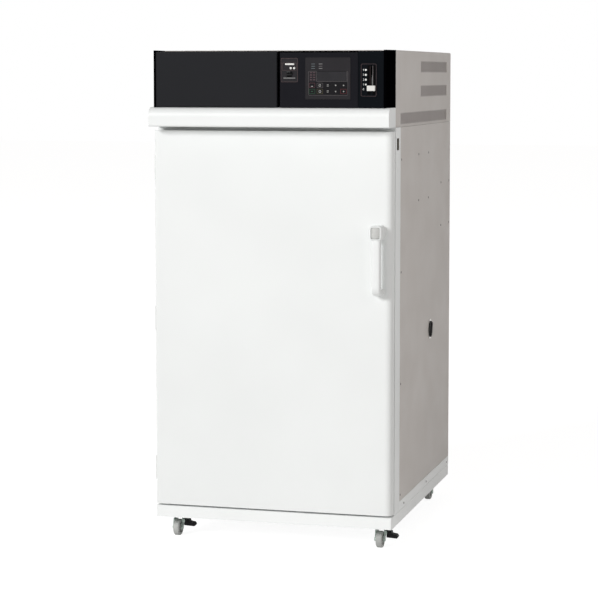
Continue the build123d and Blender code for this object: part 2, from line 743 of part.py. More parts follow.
# bow handle, drawn from the side: block with the button pocket, grip and lower foot
block_out = handle_out - button_out
handle_low = handle_top - handle_h
grip_y = y_face - block_out + 3
with BuildPart(mode=Mode.PRIVATE) as grip:
    with BuildSketch(Plane.YZ.offset(latch_x - grip_w / 2)):
        with BuildLine():
            FilletPolyline((y_face, handle_low), (grip_y + 22, handle_low), (grip_y, handle_low + 30),
                           (grip_y, handle_top - 10), radius=14)
            Polyline((grip_y, handle_top - 10), (grip_y + grip_t, handle_top - 10))
            FilletPolyline((grip_y + grip_t, handle_top - 10), (grip_y + grip_t, handle_low + foot_h + 10),
                           (grip_y + grip_t + 12, handle_low + foot_h), (y_face, handle_low + foot_h), radius=6)
            Polyline((y_face, handle_low + foot_h), (y_face, handle_low))
        make_face()
    extrude(amount=grip_w)
with BuildPart() as handle_body:
    with BuildSketch(front_plane(y_face)):
        with Locations((latch_x, handle_top - block_h / 2)):
            RectangleRounded(handle_w, block_h, 10)
    extrude(amount=block_out)
    fillet(handle_body.faces().sort_by(Axis.Y)[0].edges(), 3)
    add(grip.part)
    # pocket for the button and the stem bore behind it
    slab((latch_x - button_w / 2 - 0.4, latch_x + button_w / 2 + 0.4),
         (y_face - block_out - 1, y_face - handle_out + button_t + button_travel + 2),
         (button_z - button_h / 2 - 0.4, button_z + button_h / 2 + 0.4), Mode.SUBTRACT)
    rod_y(latch_x, (y_face - block_out, y_face + 1), button_z, stem_r + fit, Mode.SUBTRACT)
save(handle_body, "handle_body")

# thumb button with its push stem
stem_end = y_face + 4
with BuildPart() as handle_button:
    with BuildSketch(front_plane(y_face - handle_out + button_t)):
        with Locations((latch_x, button_z)):
            RectangleRounded(button_w, button_h, 5)
    extrude(amount=button_t)
    fillet(handle_button.faces().sort_by(Axis.Y)[0].edges(), 2)
    rod_y(latch_x, (y_face - handle_out + button_t - 1, stem_end), button_z, stem_r)
save(handle_button, "handle_button")

# latch lever: arm in front of the stem, pivot pin, and tongue with its nose behind the frame
pivot_r = 3
arm_y = stem_end + 0.9
with BuildPart() as latch_lever:
    with BuildSketch(Plane.YZ.offset(latch_x - lever_w / 2)):
        with BuildLine():
            Polyline((arm_y, button_z + 6), (arm_y + lever_t, button_z + 6), (pivot_y + 5, lever_z + lever_t / 2),
                     (nose_y, lever_z + lever_t / 2), (nose_y + 4, nose_top), (tongue_end, nose_top - 3),
                     (tongue_end, lever_z - lever_t / 2), (pivot_y - 4, lever_z - lever_t / 2 - 1),
                     (arm_y, button_z - 16), (arm_y, button_z + 6))
        make_face()
    extrude(amount=lever_w)
    rod_x((latch_x - lever_w / 2 - 7, latch_x + lever_w / 2 + 7), pivot_y, lever_z, pivot_r)
save(latch_lever, "latch_lever")

# bracket in the door that carries the lever's pivot pin
with BuildPart() as latch_bracket:
    for side in (-1, 1):
        x = latch_x + side * (lever_w / 2 + 5)
        slab((x - 1.5, x + 1.5), (y_face + sheet, liner_y), (lever_z - 12, lever_z + 14))
        slab(sorted((x, x + side * 10)), (y_face + sheet, y_face + sheet + 2), (lever_z - 12, lever_z + 14))
    rod_x((latch_x - 30, latch_x + 30), pivot_y, lever_z, pivot_r + run, Mode.SUBTRACT)
save(latch_bracket, "latch_bracket")

# floor of the head, over the insulation, with turned-up edges whose flanges carry the cover
floor_half = width / 2 - frame_sheet - return_w - 1
floor_ys = (cavity_y + 2, back_y - 2)
with BuildPart() as head_floor:
    slab((-floor_half, floor_half), floor_ys, (wool_top, wool_top + frame_sheet))
    for side in (-1, 1):
        edge = side * floor_half
        cover_side = side * (width / 2 - frame_sheet - fit)
        slab(sorted((edge - side * frame_sheet, edge)), floor_ys, (wool_top, head_z + fit + frame_sheet))
        slab(sorted((edge, cover_side)), floor_ys, (head_z + fit, head_z + fit + frame_sheet))
save(head_floor, "head_floor")

# power unit on the head floor: chassis, finned heat sink and three contactors
unit_z = wool_top + frame_sheet
chassis_w = 300
chassis_d = 220
chassis_back = 300          # behind the door face
chassis_t = 3
fin_h = 67
fin_pitch = 12
fin_t = 3
fins = 9
contactor_w = 46
contactor_h = 85
with BuildPart() as power_unit:
    ys = (y_face + chassis_back, y_face + chassis_back + chassis_d)
    slab((-chassis_w, 0), ys, (unit_z, unit_z + chassis_t))
    sink_x = -chassis_w + 10
    for i in range(fins):
        x = sink_x + i * fin_pitch
        slab((x, x + fin_t), (ys[0] + 10, ys[1] - 10), (unit_z + chassis_t, unit_z + chassis_t + fin_h))
    slab((sink_x, sink_x + (fins - 1) * fin_pitch + fin_t), (ys[0] + 10, ys[1] - 10),
         (unit_z + chassis_t, unit_z + 4 * chassis_t))
    with Locations((-2 * contactor_w - 3, (ys[0] + ys[1]) / 2, unit_z + chassis_t)):
        with GridLocations(contactor_w + 12, 1, 3, 1):
            Box(contactor_w, 80, contactor_h, align=(Align.CENTER, Align.CENTER, Align.MIN))
save(power_unit, "power_unit")

# head cover: an inverted U with windows for the vent bands and a lip along its lower edge
with BuildPart() as head_cover:
    with BuildSketch(front_plane(frame_y)) as head_outline:
        with Locations((0, (head_z + top_z) / 2)):
            Rectangle(width, top_z - head_z)
        fillet(head_outline.vertices().group_by(Axis.Y)[-1], head_r)
        with Locations((0, (head_z + top_z) / 2 - frame_sheet)):
            Rectangle(width - 2 * frame_sheet, top_z - head_z, mode=Mode.SUBTRACT)
    extrude(amount=-(back_y - frame_y))
    for side in (-1, 1):
        slab(sorted((side * (width / 2 - 1), side * (width / 2 + 1.5))), (frame_y, back_y), (head_z, head_z + 3))
    for front, rise in vents:
        slab((-width, width), (y_face + front, y_face + vent_back), (head_z + rise, head_z + rise + vent_h),
             Mode.SUBTRACT)
save(head_cover, "head_cover")

# slotted vent bands, set in behind the windows of the cover
band_lap = 5
with BuildPart() as side_grilles:
    for side in (-1, 1):
        band_x = side * (width / 2 - frame_sheet)
        for front, rise in vents:
            length = vent_back - front
            count = int(length / vent_pitch)
            with BuildSketch(Plane.YZ.offset(band_x)):
                with Locations((y_face + front + length / 2, head_z + rise + vent_h / 2)):
                    Rectangle(length + 2 * band_lap, vent_h + 2 * band_lap)
                    with GridLocations(length / count, 1, count, 1):
                        Rectangle(vent_slot, vent_h - 6, mode=Mode.SUBTRACT)
            extrude(amount=-side * sheet)
save(side_grilles, "side_grilles")

# rear of the head
with BuildPart() as head_rear_panel:
    with BuildSketch(front_plane(y_rear)) as rear_outline:
        with Locations((0, (head_z + top_z) / 2)):
            Rectangle(width, top_z - head_z)
        fillet(rear_outline.vertices().group_by(Axis.Y)[-1], head_r)
        with Locations((0, (head_z + top_z) / 2)):
            with GridLocations(30, 1, 15, 1):
                Rectangle(8, 90, mode=Mode.SUBTRACT)
    extrude(amount=frame_sheet)
save(head_rear_panel, "head_rear_panel")

# visor under the fascia: a folded shell with a rounded nose and closed ends
visor_r = 30
visor_end = 3


def visor_outline(x, wall):
    with BuildSketch(Plane.YZ.offset(x)) as nose:
        with BuildLine():
            Polyline((frame_y, head_z + wall), (y_face - visor_out + wall, head_z + wall),
                     (y_face - visor_out + wall, fascia_z - wall), (frame_y, fascia_z - wall),
                     (frame_y, head_z + wall))
        make_face()
        front_ends = nose.vertices().group_by(Axis.X)[0].sort_by(Axis.Y)
        fillet(front_ends[-1], visor_r - wall)
        fillet(nose.vertices().group_by(Axis.Y)[0].sort_by(Axis.X)[0], 6 - wall)
    return nose.sketch


with BuildPart() as visor:
    extrude(visor_outline(-width / 2, 0), amount=width)
    extrude(visor_outline(-width / 2 + visor_end, frame_sheet), amount=width - 2 * visor_end, mode=Mode.SUBTRACT)
save(visor, "visor")

# fascia box: end cheeks that taper forward, and between them the back wall, the floor and the top wall
face_y = y_face - fascia_out
face_half = width / 2 - fascia_in
inner_half = face_half - cheek_t_front
fascia_back_y = face_y + fascia_back
box_wall = 3
wall_half = inner_half - weld
with BuildPart() as fascia_frame:
    with BuildSketch(Plane.XY.offset(fascia_z)):
        for side in (-1, 1):
            with BuildLine():
                Polyline((side * inner_half, face_y), (side * face_half, face_y), (side * width / 2, frame_y),
                         (side * inner_half, frame_y), (side * inner_half, face_y))
            make_face()
    extrude(amount=fascia_h + cheek_rise)
    slab((-wall_half, wall_half), (fascia_back_y, fascia_back_y + box_wall), (fascia_z, fascia_top))
    for z in (fascia_z, fascia_top - box_wall):
        slab((-wall_half, wall_half), (fascia_back_y + box_wall + weld, frame_y), (z, z + box_wall))
    # slot for the damper slider
    knob_x = inner_half - damper_w + scale_left + slot_in
    knob_z = fascia_z + knob_low
    slab((knob_x - slot_w / 2 - 1, knob_x + slot_w / 2 + 1), (fascia_back_y - 1, fascia_back_y + box_wall + 1),
         (knob_z - 2, knob_z + knob_h + knob_travel + 2), Mode.SUBTRACT)
save(fascia_frame, "fascia_frame")


# a front cover: a shallow pan that sits on the back wall of the fascia box
def front_cover(x0, x1, z0, z1, soft):
    with BuildPart() as cover:
        with BuildSketch(front_plane(fascia_back_y)):
            with Locations(((x0 + x1) / 2, (z0 + z1) / 2)):
                Rectangle(x1 - x0, z1 - z0)
        extrude(amount=fascia_back)
        fillet(cover.faces().sort_by(Axis.Y)[0].edges(), soft)
        offset(amount=-cover_t, openings=cover.faces().sort_by(Axis.Y)[-1])
    return cover.part


centre_right = inner_half - damper_w
centre_left = centre_right - centre_w
cover_left = -inner_half + plate_gap
cover_right = centre_left - gap_w
cover_low = fascia_z + 0.5
with BuildPart() as fascia_cover:
    add(front_cover(cover_left, cover_right, cover_low, fascia_top - 1, 2.5))
save(fascia_cover, "fascia_cover")

unit_x = (centre_right - unit_right - unit_w, centre_right - unit_right)
unit_zs = (fascia_z + unit_low, fascia_z + unit_low + unit_h)
breaker_x = (centre_left + breaker_left, centre_left + breaker_left + breaker_w)
breaker_zs = (fascia_z + breaker_low, fascia_z + breaker_low + breaker_h)
with BuildPart() as control_panel:
    add(front_cover(centre_left, centre_right - plate_gap, cover_low, fascia_top - centre_drop, 1.2))
    for xs, zs in ((unit_x, unit_zs), (breaker_x, breaker_zs)):
        slab(xs, (face_y - 1, face_y + cover_t + 1), zs, Mode.SUBTRACT)
save(control_panel, "control_panel")

scale_x = (centre_right + scale_left, centre_right + scale_left + scale_w)
with BuildPart() as damper_panel:
    add(front_cover(centre_right, inner_half - plate_gap, cover_low, fascia_top - 1, 1.2))
    # raised scale plate and the slider slot
    with BuildSketch(front_plane(face_y)):
        with Locations(((scale_x[0] + scale_x[1]) / 2, fascia_z + scale_low + scale_h / 2)):
            RectangleRounded(scale_w, scale_h, 5)
    extrude(amount=0.8)
    slab((knob_x - slot_w / 2, knob_x + slot_w / 2), (face_y - 2, face_y + cover_t + 1),
         (knob_z + 5, knob_z + knob_h + knob_travel - 5), Mode.SUBTRACT)
save(damper_panel, "damper_panel")

# slider knob with its stem through the panel and the back wall
with BuildPart() as damper_knob:
    with BuildSketch(front_plane(face_y - 1.2)):
        with Locations((knob_x, knob_z + knob_h / 2)):
            RectangleRounded(knob_w, knob_h, 2)
    extrude(amount=9)
    fillet(damper_knob.faces().sort_by(Axis.Y)[0].edges(), 1.5)
    slab((knob_x - slot_w / 2 + fit, knob_x + slot_w / 2 - fit), (face_y - 2, fascia_back_y + 12),
         (knob_z + 6, knob_z + knob_h - 6))
save(damper_knob, "damper_knob")

# controller: body behind a thin bezel, with shallow seats for the window and the keys
inset = 0.4
film_x = (unit_x[0] + 10, unit_x[1] - 10)
film_z = (unit_zs[0] + 15, unit_zs[0] + 60)
glass_x = (unit_x[0] + 41, unit_x[1] - 14)
glass_z = (unit_zs[0] + 62, unit_zs[0] + 94)
with BuildPart() as controller_body:
    with BuildSketch(front_plane(fascia_back_y)):
        with Locations(((unit_x[0] + unit_x[1]) / 2, (unit_zs[0] + unit_zs[1]) / 2)):
            RectangleRounded(unit_w - 2 * inset, unit_h - 2 * inset, 3)
    extrude(amount=fascia_back + bezel_out)
    slab(film_x, (face_y - bezel_out - 1, face_y - bezel_out + 0.8), film_z, Mode.SUBTRACT)
    slab(glass_x, (face_y - bezel_out - 1, face_y - bezel_out + 0.8), glass_z, Mode.SUBTRACT)
save(controller_body, "controller_body")

with BuildPart() as display_window:
    slab(glass_x, (face_y - bezel_out - 0.4, face_y - bezel_out + 0.8), glass_z)
save(display_window, "display_window")

# membrane keypad: film with two rows of five embossed keys
key_w = 21
key_h = 16
with BuildPart() as keypad_film:
    slab(film_x, (face_y - bezel_out, face_y - bezel_out + 0.8), film_z)
    with Locations(front_plane(face_y - bezel_out) * Location(((film_x[0] + film_x[1]) / 2,
                                                               (film_z[0] + film_z[1]) / 2, 0.3))):
        with GridLocations(27.5, 20.5, 5, 2):
            Box(key_w, key_h, 0.6)
save(keypad_film, "keypad_film")

# breaker in its window, with a recess and a toggle that tips down
toggle_y = face_y + 3
toggle_z = breaker_zs[0] + 27
recess_h = 18
breaker_mid = (breaker_x[0] + breaker_x[1]) / 2
with BuildPart() as breaker_body:
    slab((breaker_x[0] + inset, breaker_x[1] - inset), (face_y + 1, fascia_back_y),
         (breaker_zs[0] + inset, breaker_zs[1] - inset))
    slab((breaker_mid - 13, breaker_mid + 13), (face_y, toggle_y + 10),
         (toggle_z - recess_h / 2, toggle_z + recess_h / 2), Mode.SUBTRACT)
    for side in (-1, 1):
        x = breaker_mid + side * 12
        slab((x - 2.5, x + 2.5), (face_y + 1, toggle_y + 10), (toggle_z - recess_h / 2, toggle_z + recess_h / 2))
    rod_x((breaker_mid - 16, breaker_mid + 16), toggle_y, toggle_z, 1.5 + run, Mode.SUBTRACT)
save(breaker_body, "breaker_body")

with BuildPart() as breaker_toggle:
    rod_x((breaker_mid - 9, breaker_mid + 9), toggle_y, toggle_z, toggle_r - 1)
    rod_x((breaker_mid - 14, breaker_mid + 14), toggle_y, toggle_z, 1.5)
    with BuildSketch(Plane.YZ.offset(breaker_mid - 7)):
        with BuildLine():
            Polyline((toggle_y, toggle_z + 4), (toggle_y - 14, toggle_z + 10), (toggle_y - 15, toggle_z + 6),
                     (toggle_y, toggle_z - 3), (toggle_y, toggle_z + 4))
        make_face()
    extrude(amount=14)
save(breaker_toggle, "breaker_toggle")

# panel screws: low domed heads on the side panels, the base strips and the rear panel
panel_front = side_y - y_face + 14
panel_back = depth - 20
panel_low = side_z + 21
panel_high = panel_top - 112
side_marks = [(panel_front, panel_low + i * (panel_high - panel_low) / 3) for i in range(4)]
# access covers: two squares of four screws each
for t, z, pitch_t, pitch_z in ((panel_front + 290, panel_high - 157, 176, 165),
                               (panel_back - 158, panel_high - 276, 158, 162)):
    side_marks += [(t + i * pitch_t, z + j * pitch_z) for i in range(2) for j in range(2)]
side_marks += [(panel_front + 60 + i * (panel_back - 20 - panel_front - 60) / 2, side_z - 20) for i in range(3)]
screw_r = 4.2
with BuildPart() as panel_screws:
    for side in (-1, 1):
        for t, z in side_marks:
            x = side * width / 2
            rod_x(sorted((x, x + side * 1.6)), y_face + t, z, screw_r)
    for x in (-width / 2 + 14, 0, width / 2 - 14):
        for z in (side_z + 30, panel_top - 30, head_z + 20):
            rod_y(x, (y_rear, y_rear + 1.6), z, screw_r)
save(panel_screws, "panel_screws")
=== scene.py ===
import bpy
import bmesh
import numpy as np
from math import pi, radians
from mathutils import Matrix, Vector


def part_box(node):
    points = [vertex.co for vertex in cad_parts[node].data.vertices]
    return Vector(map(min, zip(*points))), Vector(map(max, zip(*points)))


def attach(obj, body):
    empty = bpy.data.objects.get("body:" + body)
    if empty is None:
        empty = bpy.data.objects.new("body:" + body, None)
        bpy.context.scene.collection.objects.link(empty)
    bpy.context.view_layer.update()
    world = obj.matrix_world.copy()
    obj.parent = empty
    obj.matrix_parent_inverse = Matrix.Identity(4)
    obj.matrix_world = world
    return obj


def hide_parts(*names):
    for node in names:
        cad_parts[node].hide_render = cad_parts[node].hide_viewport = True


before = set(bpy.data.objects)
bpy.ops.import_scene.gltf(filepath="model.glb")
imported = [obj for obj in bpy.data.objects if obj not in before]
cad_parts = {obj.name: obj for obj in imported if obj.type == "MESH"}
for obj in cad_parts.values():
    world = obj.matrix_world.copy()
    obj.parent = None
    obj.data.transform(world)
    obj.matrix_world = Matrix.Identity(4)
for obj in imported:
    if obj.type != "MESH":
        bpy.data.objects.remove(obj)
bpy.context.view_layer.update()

mm = 0.001
print("stage: frame loaded,", len(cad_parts), "CAD nodes")


# materials

def newMaterial(name, colour, roughness, metallic=0.0, **sockets):
    material = bpy.data.materials.new(name)
    material.use_nodes = True
    tree = material.node_tree
    shader = tree.nodes["Principled BSDF"]
    shader.inputs["Base Color"].default_value = (*colour, 1.0)
    shader.inputs["Roughness"].default_value = roughness
    shader.inputs["Metallic"].default_value = metallic
    for socket, value in sockets.items():
        shader.inputs[socket.replace("_", " ")].default_value = value
    coords = tree.nodes.new("ShaderNodeTexCoord")
    return material, tree, shader, coords


def noiseFrom(tree, coords, scale, detail=2.0, stretch=(1, 1, 1)):
    # noise in object space, squeezed along an axis where the finish has a direction
    place = tree.nodes.new("ShaderNodeMapping")
    place.inputs["Scale"].default_value = stretch
    noise = tree.nodes.new("ShaderNodeTexNoise")
    noise.inputs["Scale"].default_value = scale
    noise.inputs["Detail"].default_value = detail
    tree.links.new(coords.outputs["Object"], place.inputs["Vector"])
    tree.links.new(place.outputs["Vector"], noise.inputs["Vector"])
    return noise.outputs["Fac"]


def addDrift(tree, shader, source, colour, amount):
    # the base colour, made darker or lighter by a slow noise
    ramp = tree.nodes.new("ShaderNodeValToRGB")
    ramp.color_ramp.elements[0].position = 0.3
    ramp.color_ramp.elements[1].position = 0.7
    ramp.color_ramp.elements[0].color = (*[c * (1 - amount) for c in colour], 1)
    ramp.color_ramp.elements[1].color = (*[min(1.0, c * (1 + amount)) for c in colour], 1)
    tree.links.new(source, ramp.inputs["Fac"])
    tree.links.new(ramp.outputs["Color"], shader.inputs["Base Color"])


def addRoughness(tree, shader, source, low, high):
    spread = tree.nodes.new("ShaderNodeMapRange")
    spread.inputs["From Min"].default_value = 0.3
    spread.inputs["From Max"].default_value = 0.7
    spread.inputs["To Min"].default_value = low
    spread.inputs["To Max"].default_value = high
    tree.links.new(source, spread.inputs["Value"])
    tree.links.new(spread.outputs["Result"], shader.inputs["Roughness"])


def addBump(tree, shader, source, distance, strength):
    bump = tree.nodes.new("ShaderNodeBump")
    bump.inputs["Distance"].default_value = distance
    bump.inputs["Strength"].default_value = strength
    tree.links.new(source, bump.inputs["Height"])
    tree.links.new(bump.outputs["Normal"], shader.inputs["Normal"])


def powderCoat(name, colour, roughness=0.42, peel=0.12, drift=0.018, gloss=0.45):
    # baked powder paint: faint orange peel, slow colour drift, patchy gloss
    material, tree, shader, coords = newMaterial(name, colour, roughness, Specular_IOR_Level=gloss)
    addDrift(tree, shader, noiseFrom(tree, coords, 2.3), colour, drift)
    addRoughness(tree, shader, noiseFrom(tree, coords, 9.0, 3), roughness - 0.05, roughness + 0.06)
    addBump(tree, shader, noiseFrom(tree, coords, 420.0, 1), 0.0002, peel)
    return material


def brushedSteel(name, colour, roughness=0.3, along=(1, 1, 40), drift=0.05):
    # rolled or brushed sheet with long hair lines across the squeezed axis
    material, tree, shader, coords = newMaterial(name, colour, roughness, metallic=1.0)
    lines = noiseFrom(tree, coords, 60.0, 4, along)
    addDrift(tree, shader, noiseFrom(tree, coords, 5.0, 3), colour, drift)
    addRoughness(tree, shader, lines, roughness - 0.08, roughness + 0.12)
    addBump(tree, shader, lines, 0.0001, 0.25)
    return material


def moulded(name, colour, roughness=0.5, grainScale=900.0, grain=0.15, drift=0.05, gloss=0.4):
    # injection moulded plastic or rubber with a fine eroded grain
    material, tree, shader, coords = newMaterial(name, colour, roughness, Specular_IOR_Level=gloss)
    addDrift(tree, shader, noiseFrom(tree, coords, 18.0, 3), colour, drift)
    addRoughness(tree, shader, noiseFrom(tree, coords, 55.0, 2), roughness - 0.06, roughness + 0.08)
    addBump(tree, shader, noiseFrom(tree, coords, grainScale, 1), 0.00015, grain)
    return material


def fibrous(name, colour, scale, stretch=(1, 1, 1), drift=0.25):
    # felted wool or pleated paper: matt, with a coarse fibre relief
    material, tree, shader, coords = newMaterial(name, colour, 0.92, Specular_IOR_Level=0.15)
    fibres = noiseFrom(tree, coords, scale, 6, stretch)
    addDrift(tree, shader, fibres, colour, drift)
    addBump(tree, shader, fibres, 0.002, 0.7)
    return material


def displayGlass(name, colour):
    # dark window of the display: glossy, with smoky depth and faint wiping marks
    material, tree, shader, coords = newMaterial(name, colour, 0.12, Specular_IOR_Level=0.25)
    addDrift(tree, shader, noiseFrom(tree, coords, 30.0, 2), colour, 0.2)
    addRoughness(tree, shader, noiseFrom(tree, coords, 14.0, 3), 0.10, 0.18)
    return material


finishes = {
    "whitePaint": powderCoat("whitePaint", (0.845, 0.865, 0.86)),
    # a lighter copy of the white paint: painted light that makes up for the shade the door's lower edge and
    # the floor leave on the base front
    "basePaint": powderCoat("basePaint", (0.90, 0.92, 0.915)),
    "sidePaint": powderCoat("sidePaint", (0.575, 0.54, 0.51), 0.5),
    "grillePaint": powderCoat("grillePaint", (0.42, 0.385, 0.37), 0.55),
    "coverGrey": powderCoat("coverGrey", (0.0155, 0.0160, 0.0185), 0.42, 0.18, 0.05, 0.05),
    "panelBlack": powderCoat("panelBlack", (0.0085, 0.0085, 0.0115), 0.38, 0.15, 0.08, 0.04),
    "plateBlack": powderCoat("plateBlack", (0.0040, 0.0052, 0.0070), 0.38, 0.15, 0.08, 0.02),
    "cheekBlack": powderCoat("cheekBlack", (0.0008, 0.0007, 0.001), 0.5, 0.15, 0.08, 0.0),
    "stainless": brushedSteel("stainless", (0.58, 0.57, 0.55), 0.30),
    "zincSteel": brushedSteel("zincSteel", (0.45, 0.47, 0.45), 0.38, (1, 1, 1), 0.12),
    # nickel darkened well below its own colour: painted shade standing in for the shadow in and around the
    # screw recesses
    "screwNickel": brushedSteel("screwNickel", (0.20, 0.19, 0.185), 0.4, (1, 1, 1), 0.1),
    "casterZinc": powderCoat("casterZinc", (0.50, 0.60, 0.545), 0.42, 0.2, 0.1, 0.6),
    "handleWhite": moulded("handleWhite", (0.845, 0.865, 0.86), 0.38, 600, 0.08, 0.015, 0.5),
    "buttonGrey": moulded("buttonGrey", (0.58, 0.585, 0.57), 0.5, 700, 0.2, 0.03),
    "deviceBlack": moulded("deviceBlack", (0.014, 0.0125, 0.015), 0.45, 900, 0.25, 0.1, 0.12),
    "bedBlack": moulded("bedBlack", (0.002, 0.0017, 0.0018), 0.55, 900, 0.2, 0.1, 0.02),
    "toggleBlack": moulded("toggleBlack", (0.006, 0.006, 0.007), 0.4, 900, 0.2, 0.1, 0.2),
    "keypadFilm": moulded("keypadFilm", (0.0065, 0.006, 0.0075), 0.4, 1300, 0.2, 0.1, 0.08),
    "printGrey": moulded("printGrey", (0.115, 0.106, 0.110), 0.6, 900, 0.1, 0.08, 0.1),
    "printPale": moulded("printPale", (0.42, 0.42, 0.41), 0.6, 900, 0.1, 0.04, 0.1),
    "printDim": moulded("printDim", (0.115, 0.135, 0.145), 0.6, 900, 0.1, 0.04, 0.1),
    "printMid": moulded("printMid", (0.21, 0.21, 0.21), 0.6, 900, 0.1, 0.04, 0.1),
    "printWhite": moulded("printWhite", (0.78, 0.78, 0.76), 0.6, 900, 0.1, 0.02, 0.2),
    "printRed": moulded("printRed", (0.15, 0.036, 0.042), 0.6, 900, 0.1, 0.05, 0.1),
    "printPink": moulded("printPink", (0.13, 0.060, 0.070), 0.6, 900, 0.1, 0.05, 0.1),
    "printGreen": moulded("printGreen", (0.038, 0.105, 0.058), 0.6, 900, 0.1, 0.05, 0.1),
    "printAmber": moulded("printAmber", (0.095, 0.088, 0.048), 0.6, 900, 0.1, 0.05, 0.1),
    "printBrown": moulded("printBrown", (0.085, 0.060, 0.062), 0.6, 900, 0.1, 0.05, 0.1),
    "lampDark": moulded("lampDark", (0.035, 0.045, 0.055), 0.3, 900, 0.05, 0.05, 0.3),
    "knobWhite": moulded("knobWhite", (0.72, 0.71, 0.68), 0.4, 700, 0.1, 0.02),
    "pedalBlack": moulded("pedalBlack", (0.004, 0.004, 0.005), 0.5, 500, 0.3, 0.2, 0.15),
    "wheelGrey": moulded("wheelGrey", (0.46, 0.47, 0.455), 0.6, 350, 0.4, 0.12),
    "hubGrey": moulded("hubGrey", (0.24, 0.26, 0.25), 0.5, 500, 0.2, 0.08),
    "plugRubber": moulded("plugRubber", (0.006, 0.005, 0.005), 0.62, 420, 0.4, 0.2, 0.2),
    "gasketSilicone": moulded("gasketSilicone", (0.42, 0.11, 0.07), 0.6, 300, 0.3, 0.08),
    "glandNylon": moulded("glandNylon", (0.012, 0.012, 0.012), 0.5, 600, 0.3, 0.1, 0.25),
    "motorPaint": powderCoat("motorPaint", (0.025, 0.030, 0.034), 0.45, 0.5, 0.1, 0.3),
    "mineralWool": fibrous("mineralWool", (0.50, 0.42, 0.24), 90.0, (1, 4, 1)),
    "filterPaper": fibrous("filterPaper", (0.80, 0.80, 0.77), 260.0, (1, 1, 0.2), 0.06),
    "displayGlass": displayGlass("displayGlass", (0.016, 0.015, 0.018)),
}


def nodesLike(start):
    return [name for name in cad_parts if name.startswith(start)]


nodeFinish = {
    "whitePaint": ["front_frame", "door_skin", "visor"],
    # the base frame gets the lighter copy of the white paint, painted light for its shaded front
    "basePaint": ["base_frame"],
    "sidePaint": ["side_panel_left", "side_panel_right", "rear_panel", "head_cover", "head_rear_panel"],
    "grillePaint": ["side_grilles"],
    "coverGrey": ["fascia_cover"],
    "panelBlack": ["control_panel"],
    "plateBlack": ["damper_panel"],
    "cheekBlack": ["fascia_frame"],
    "stainless": ["inner_chamber", "rear_baffle", "shelf_rails", "shelf_lower", "shelf_upper", "door_liner",
                  "sensor_probe", "heater", "exhaust_port", "damper_flap", "port_sleeve"],
    "zincSteel": ["hinge_brackets", "hinge_knuckles", "strike", "latch_bracket", "latch_lever", "head_floor",
                  "power_unit", "panel_screws", "fan_wheel"],
    "casterZinc": ["caster_plates"] + nodesLike("caster_fork"),
    "handleWhite": ["handle_body"],
    "buttonGrey": ["handle_button"],
    "deviceBlack": ["controller_body", "breaker_body"],
    "toggleBlack": ["breaker_toggle"],
    "keypadFilm": ["keypad_film"],
    "displayGlass": ["display_window"],
    "knobWhite": ["damper_knob"],
    "pedalBlack": nodesLike("brake_pedal"),
    "wheelGrey": nodesLike("caster_wheel"),
    "plugRubber": ["port_plug"],
    "gasketSilicone": ["door_gasket"],
    "glandNylon": ["cable_gland"],
    "motorPaint": ["fan_motor"],
    "mineralWool": ["insulation", "door_core"],
    "filterPaper": ["hepa_filter"],
}
for finish, nodeNames in nodeFinish.items():
    for nodeName in nodeNames:
        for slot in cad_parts[nodeName].material_slots:
            slot.material = finishes[finish]
print("stage: finishes on the CAD nodes")


# surfaces worked out with numpy, in millimetres

def nodeBox(name):
    low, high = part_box(name)
    return np.array(low) / mm, np.array(high) / mm


def gridFaces(rows, columns, closeRows=False, closeColumns=True):
    # quads between neighbouring points of a grid stored row by row
    i = np.arange(rows if closeRows else rows - 1)
    j = np.arange(columns if closeColumns else columns - 1)
    a, b = [axis.ravel() for axis in np.meshgrid(i, j, indexing="ij")]
    nextA, nextB = (a + 1) % rows, (b + 1) % columns
    quads = [a * columns + b, nextA * columns + b, nextA * columns + nextB, a * columns + nextB]
    return np.stack(quads, 1).tolist()


def closedStack(rings):
    # rings of equal count carried along a path: walls between them, one flat face at each end
    rows, columns = rings.shape[:2]
    ends = [list(range(columns)), list(range((rows - 1) * columns, rows * columns))]
    return rings.reshape(-1, 3), gridFaces(rows, columns) + ends


def roundedOutline(halfW, halfH, radius, perCorner=6):
    # four quarter arcs joined by straight sides: corner centre + radius * (cos, sin)
    radius = min(radius, halfW, halfH)
    turn = np.linspace(0, pi / 2, perCorner)
    angles = np.concatenate([turn + k * pi / 2 for k in range(4)])
    signX = np.repeat([1, -1, -1, 1], perCorner)
    signZ = np.repeat([1, 1, -1, -1], perCorner)
    x = signX * (halfW - radius) + radius * np.cos(angles)
    z = signZ * (halfH - radius) + radius * np.sin(angles)
    return np.stack([x, z], 1)


def edgeArc(edge, back, front, steps=4):
    # profile of a plate's side: straight from the back, then a quarter arc of the edge radius
    turn = np.linspace(0, pi / 2, steps)
    inset = np.concatenate([[0], edge * (1 - np.cos(turn))])
    depth = np.concatenate([[back], front + edge * (1 - np.sin(turn))])
    return inset, depth


def plate(centre, size, corner, back, front, edge=0.3, perCorner=5):
    # a plate that faces -Y: the rounded outline shrunk by the inset and carried along the edge profile
    rings = []
    for inset, depth in zip(*edgeArc(edge, back, front)):
        outline = roundedOutline(size[0] / 2 - inset, size[1] / 2 - inset, max(corner - inset, 0.05),
                                 perCorner)
        x, z = centre[0] + outline[:, 0], centre[1] + outline[:, 1]
        rings.append(np.stack([x, np.full_like(x, depth), z], 1))
    return closedStack(np.array(rings))


def frameLine(centre, size, corner, line, back, front, perCorner=5):
    # a raised line round a rounded rectangle: a square section carried round the outline
    rings = []
    for inset, depth in ((0, back), (0, front), (line, front), (line, back)):
        outline = roundedOutline(size[0] / 2 - inset, size[1] / 2 - inset, max(corner - inset, 0.1),
                                 perCorner)
        x, z = centre[0] + outline[:, 0], centre[1] + outline[:, 1]
        rings.append(np.stack([x, np.full_like(x, depth), z], 1))
    rings = np.array(rings)
    return rings.reshape(-1, 3), gridFaces(4, rings.shape[1], closeRows=True)


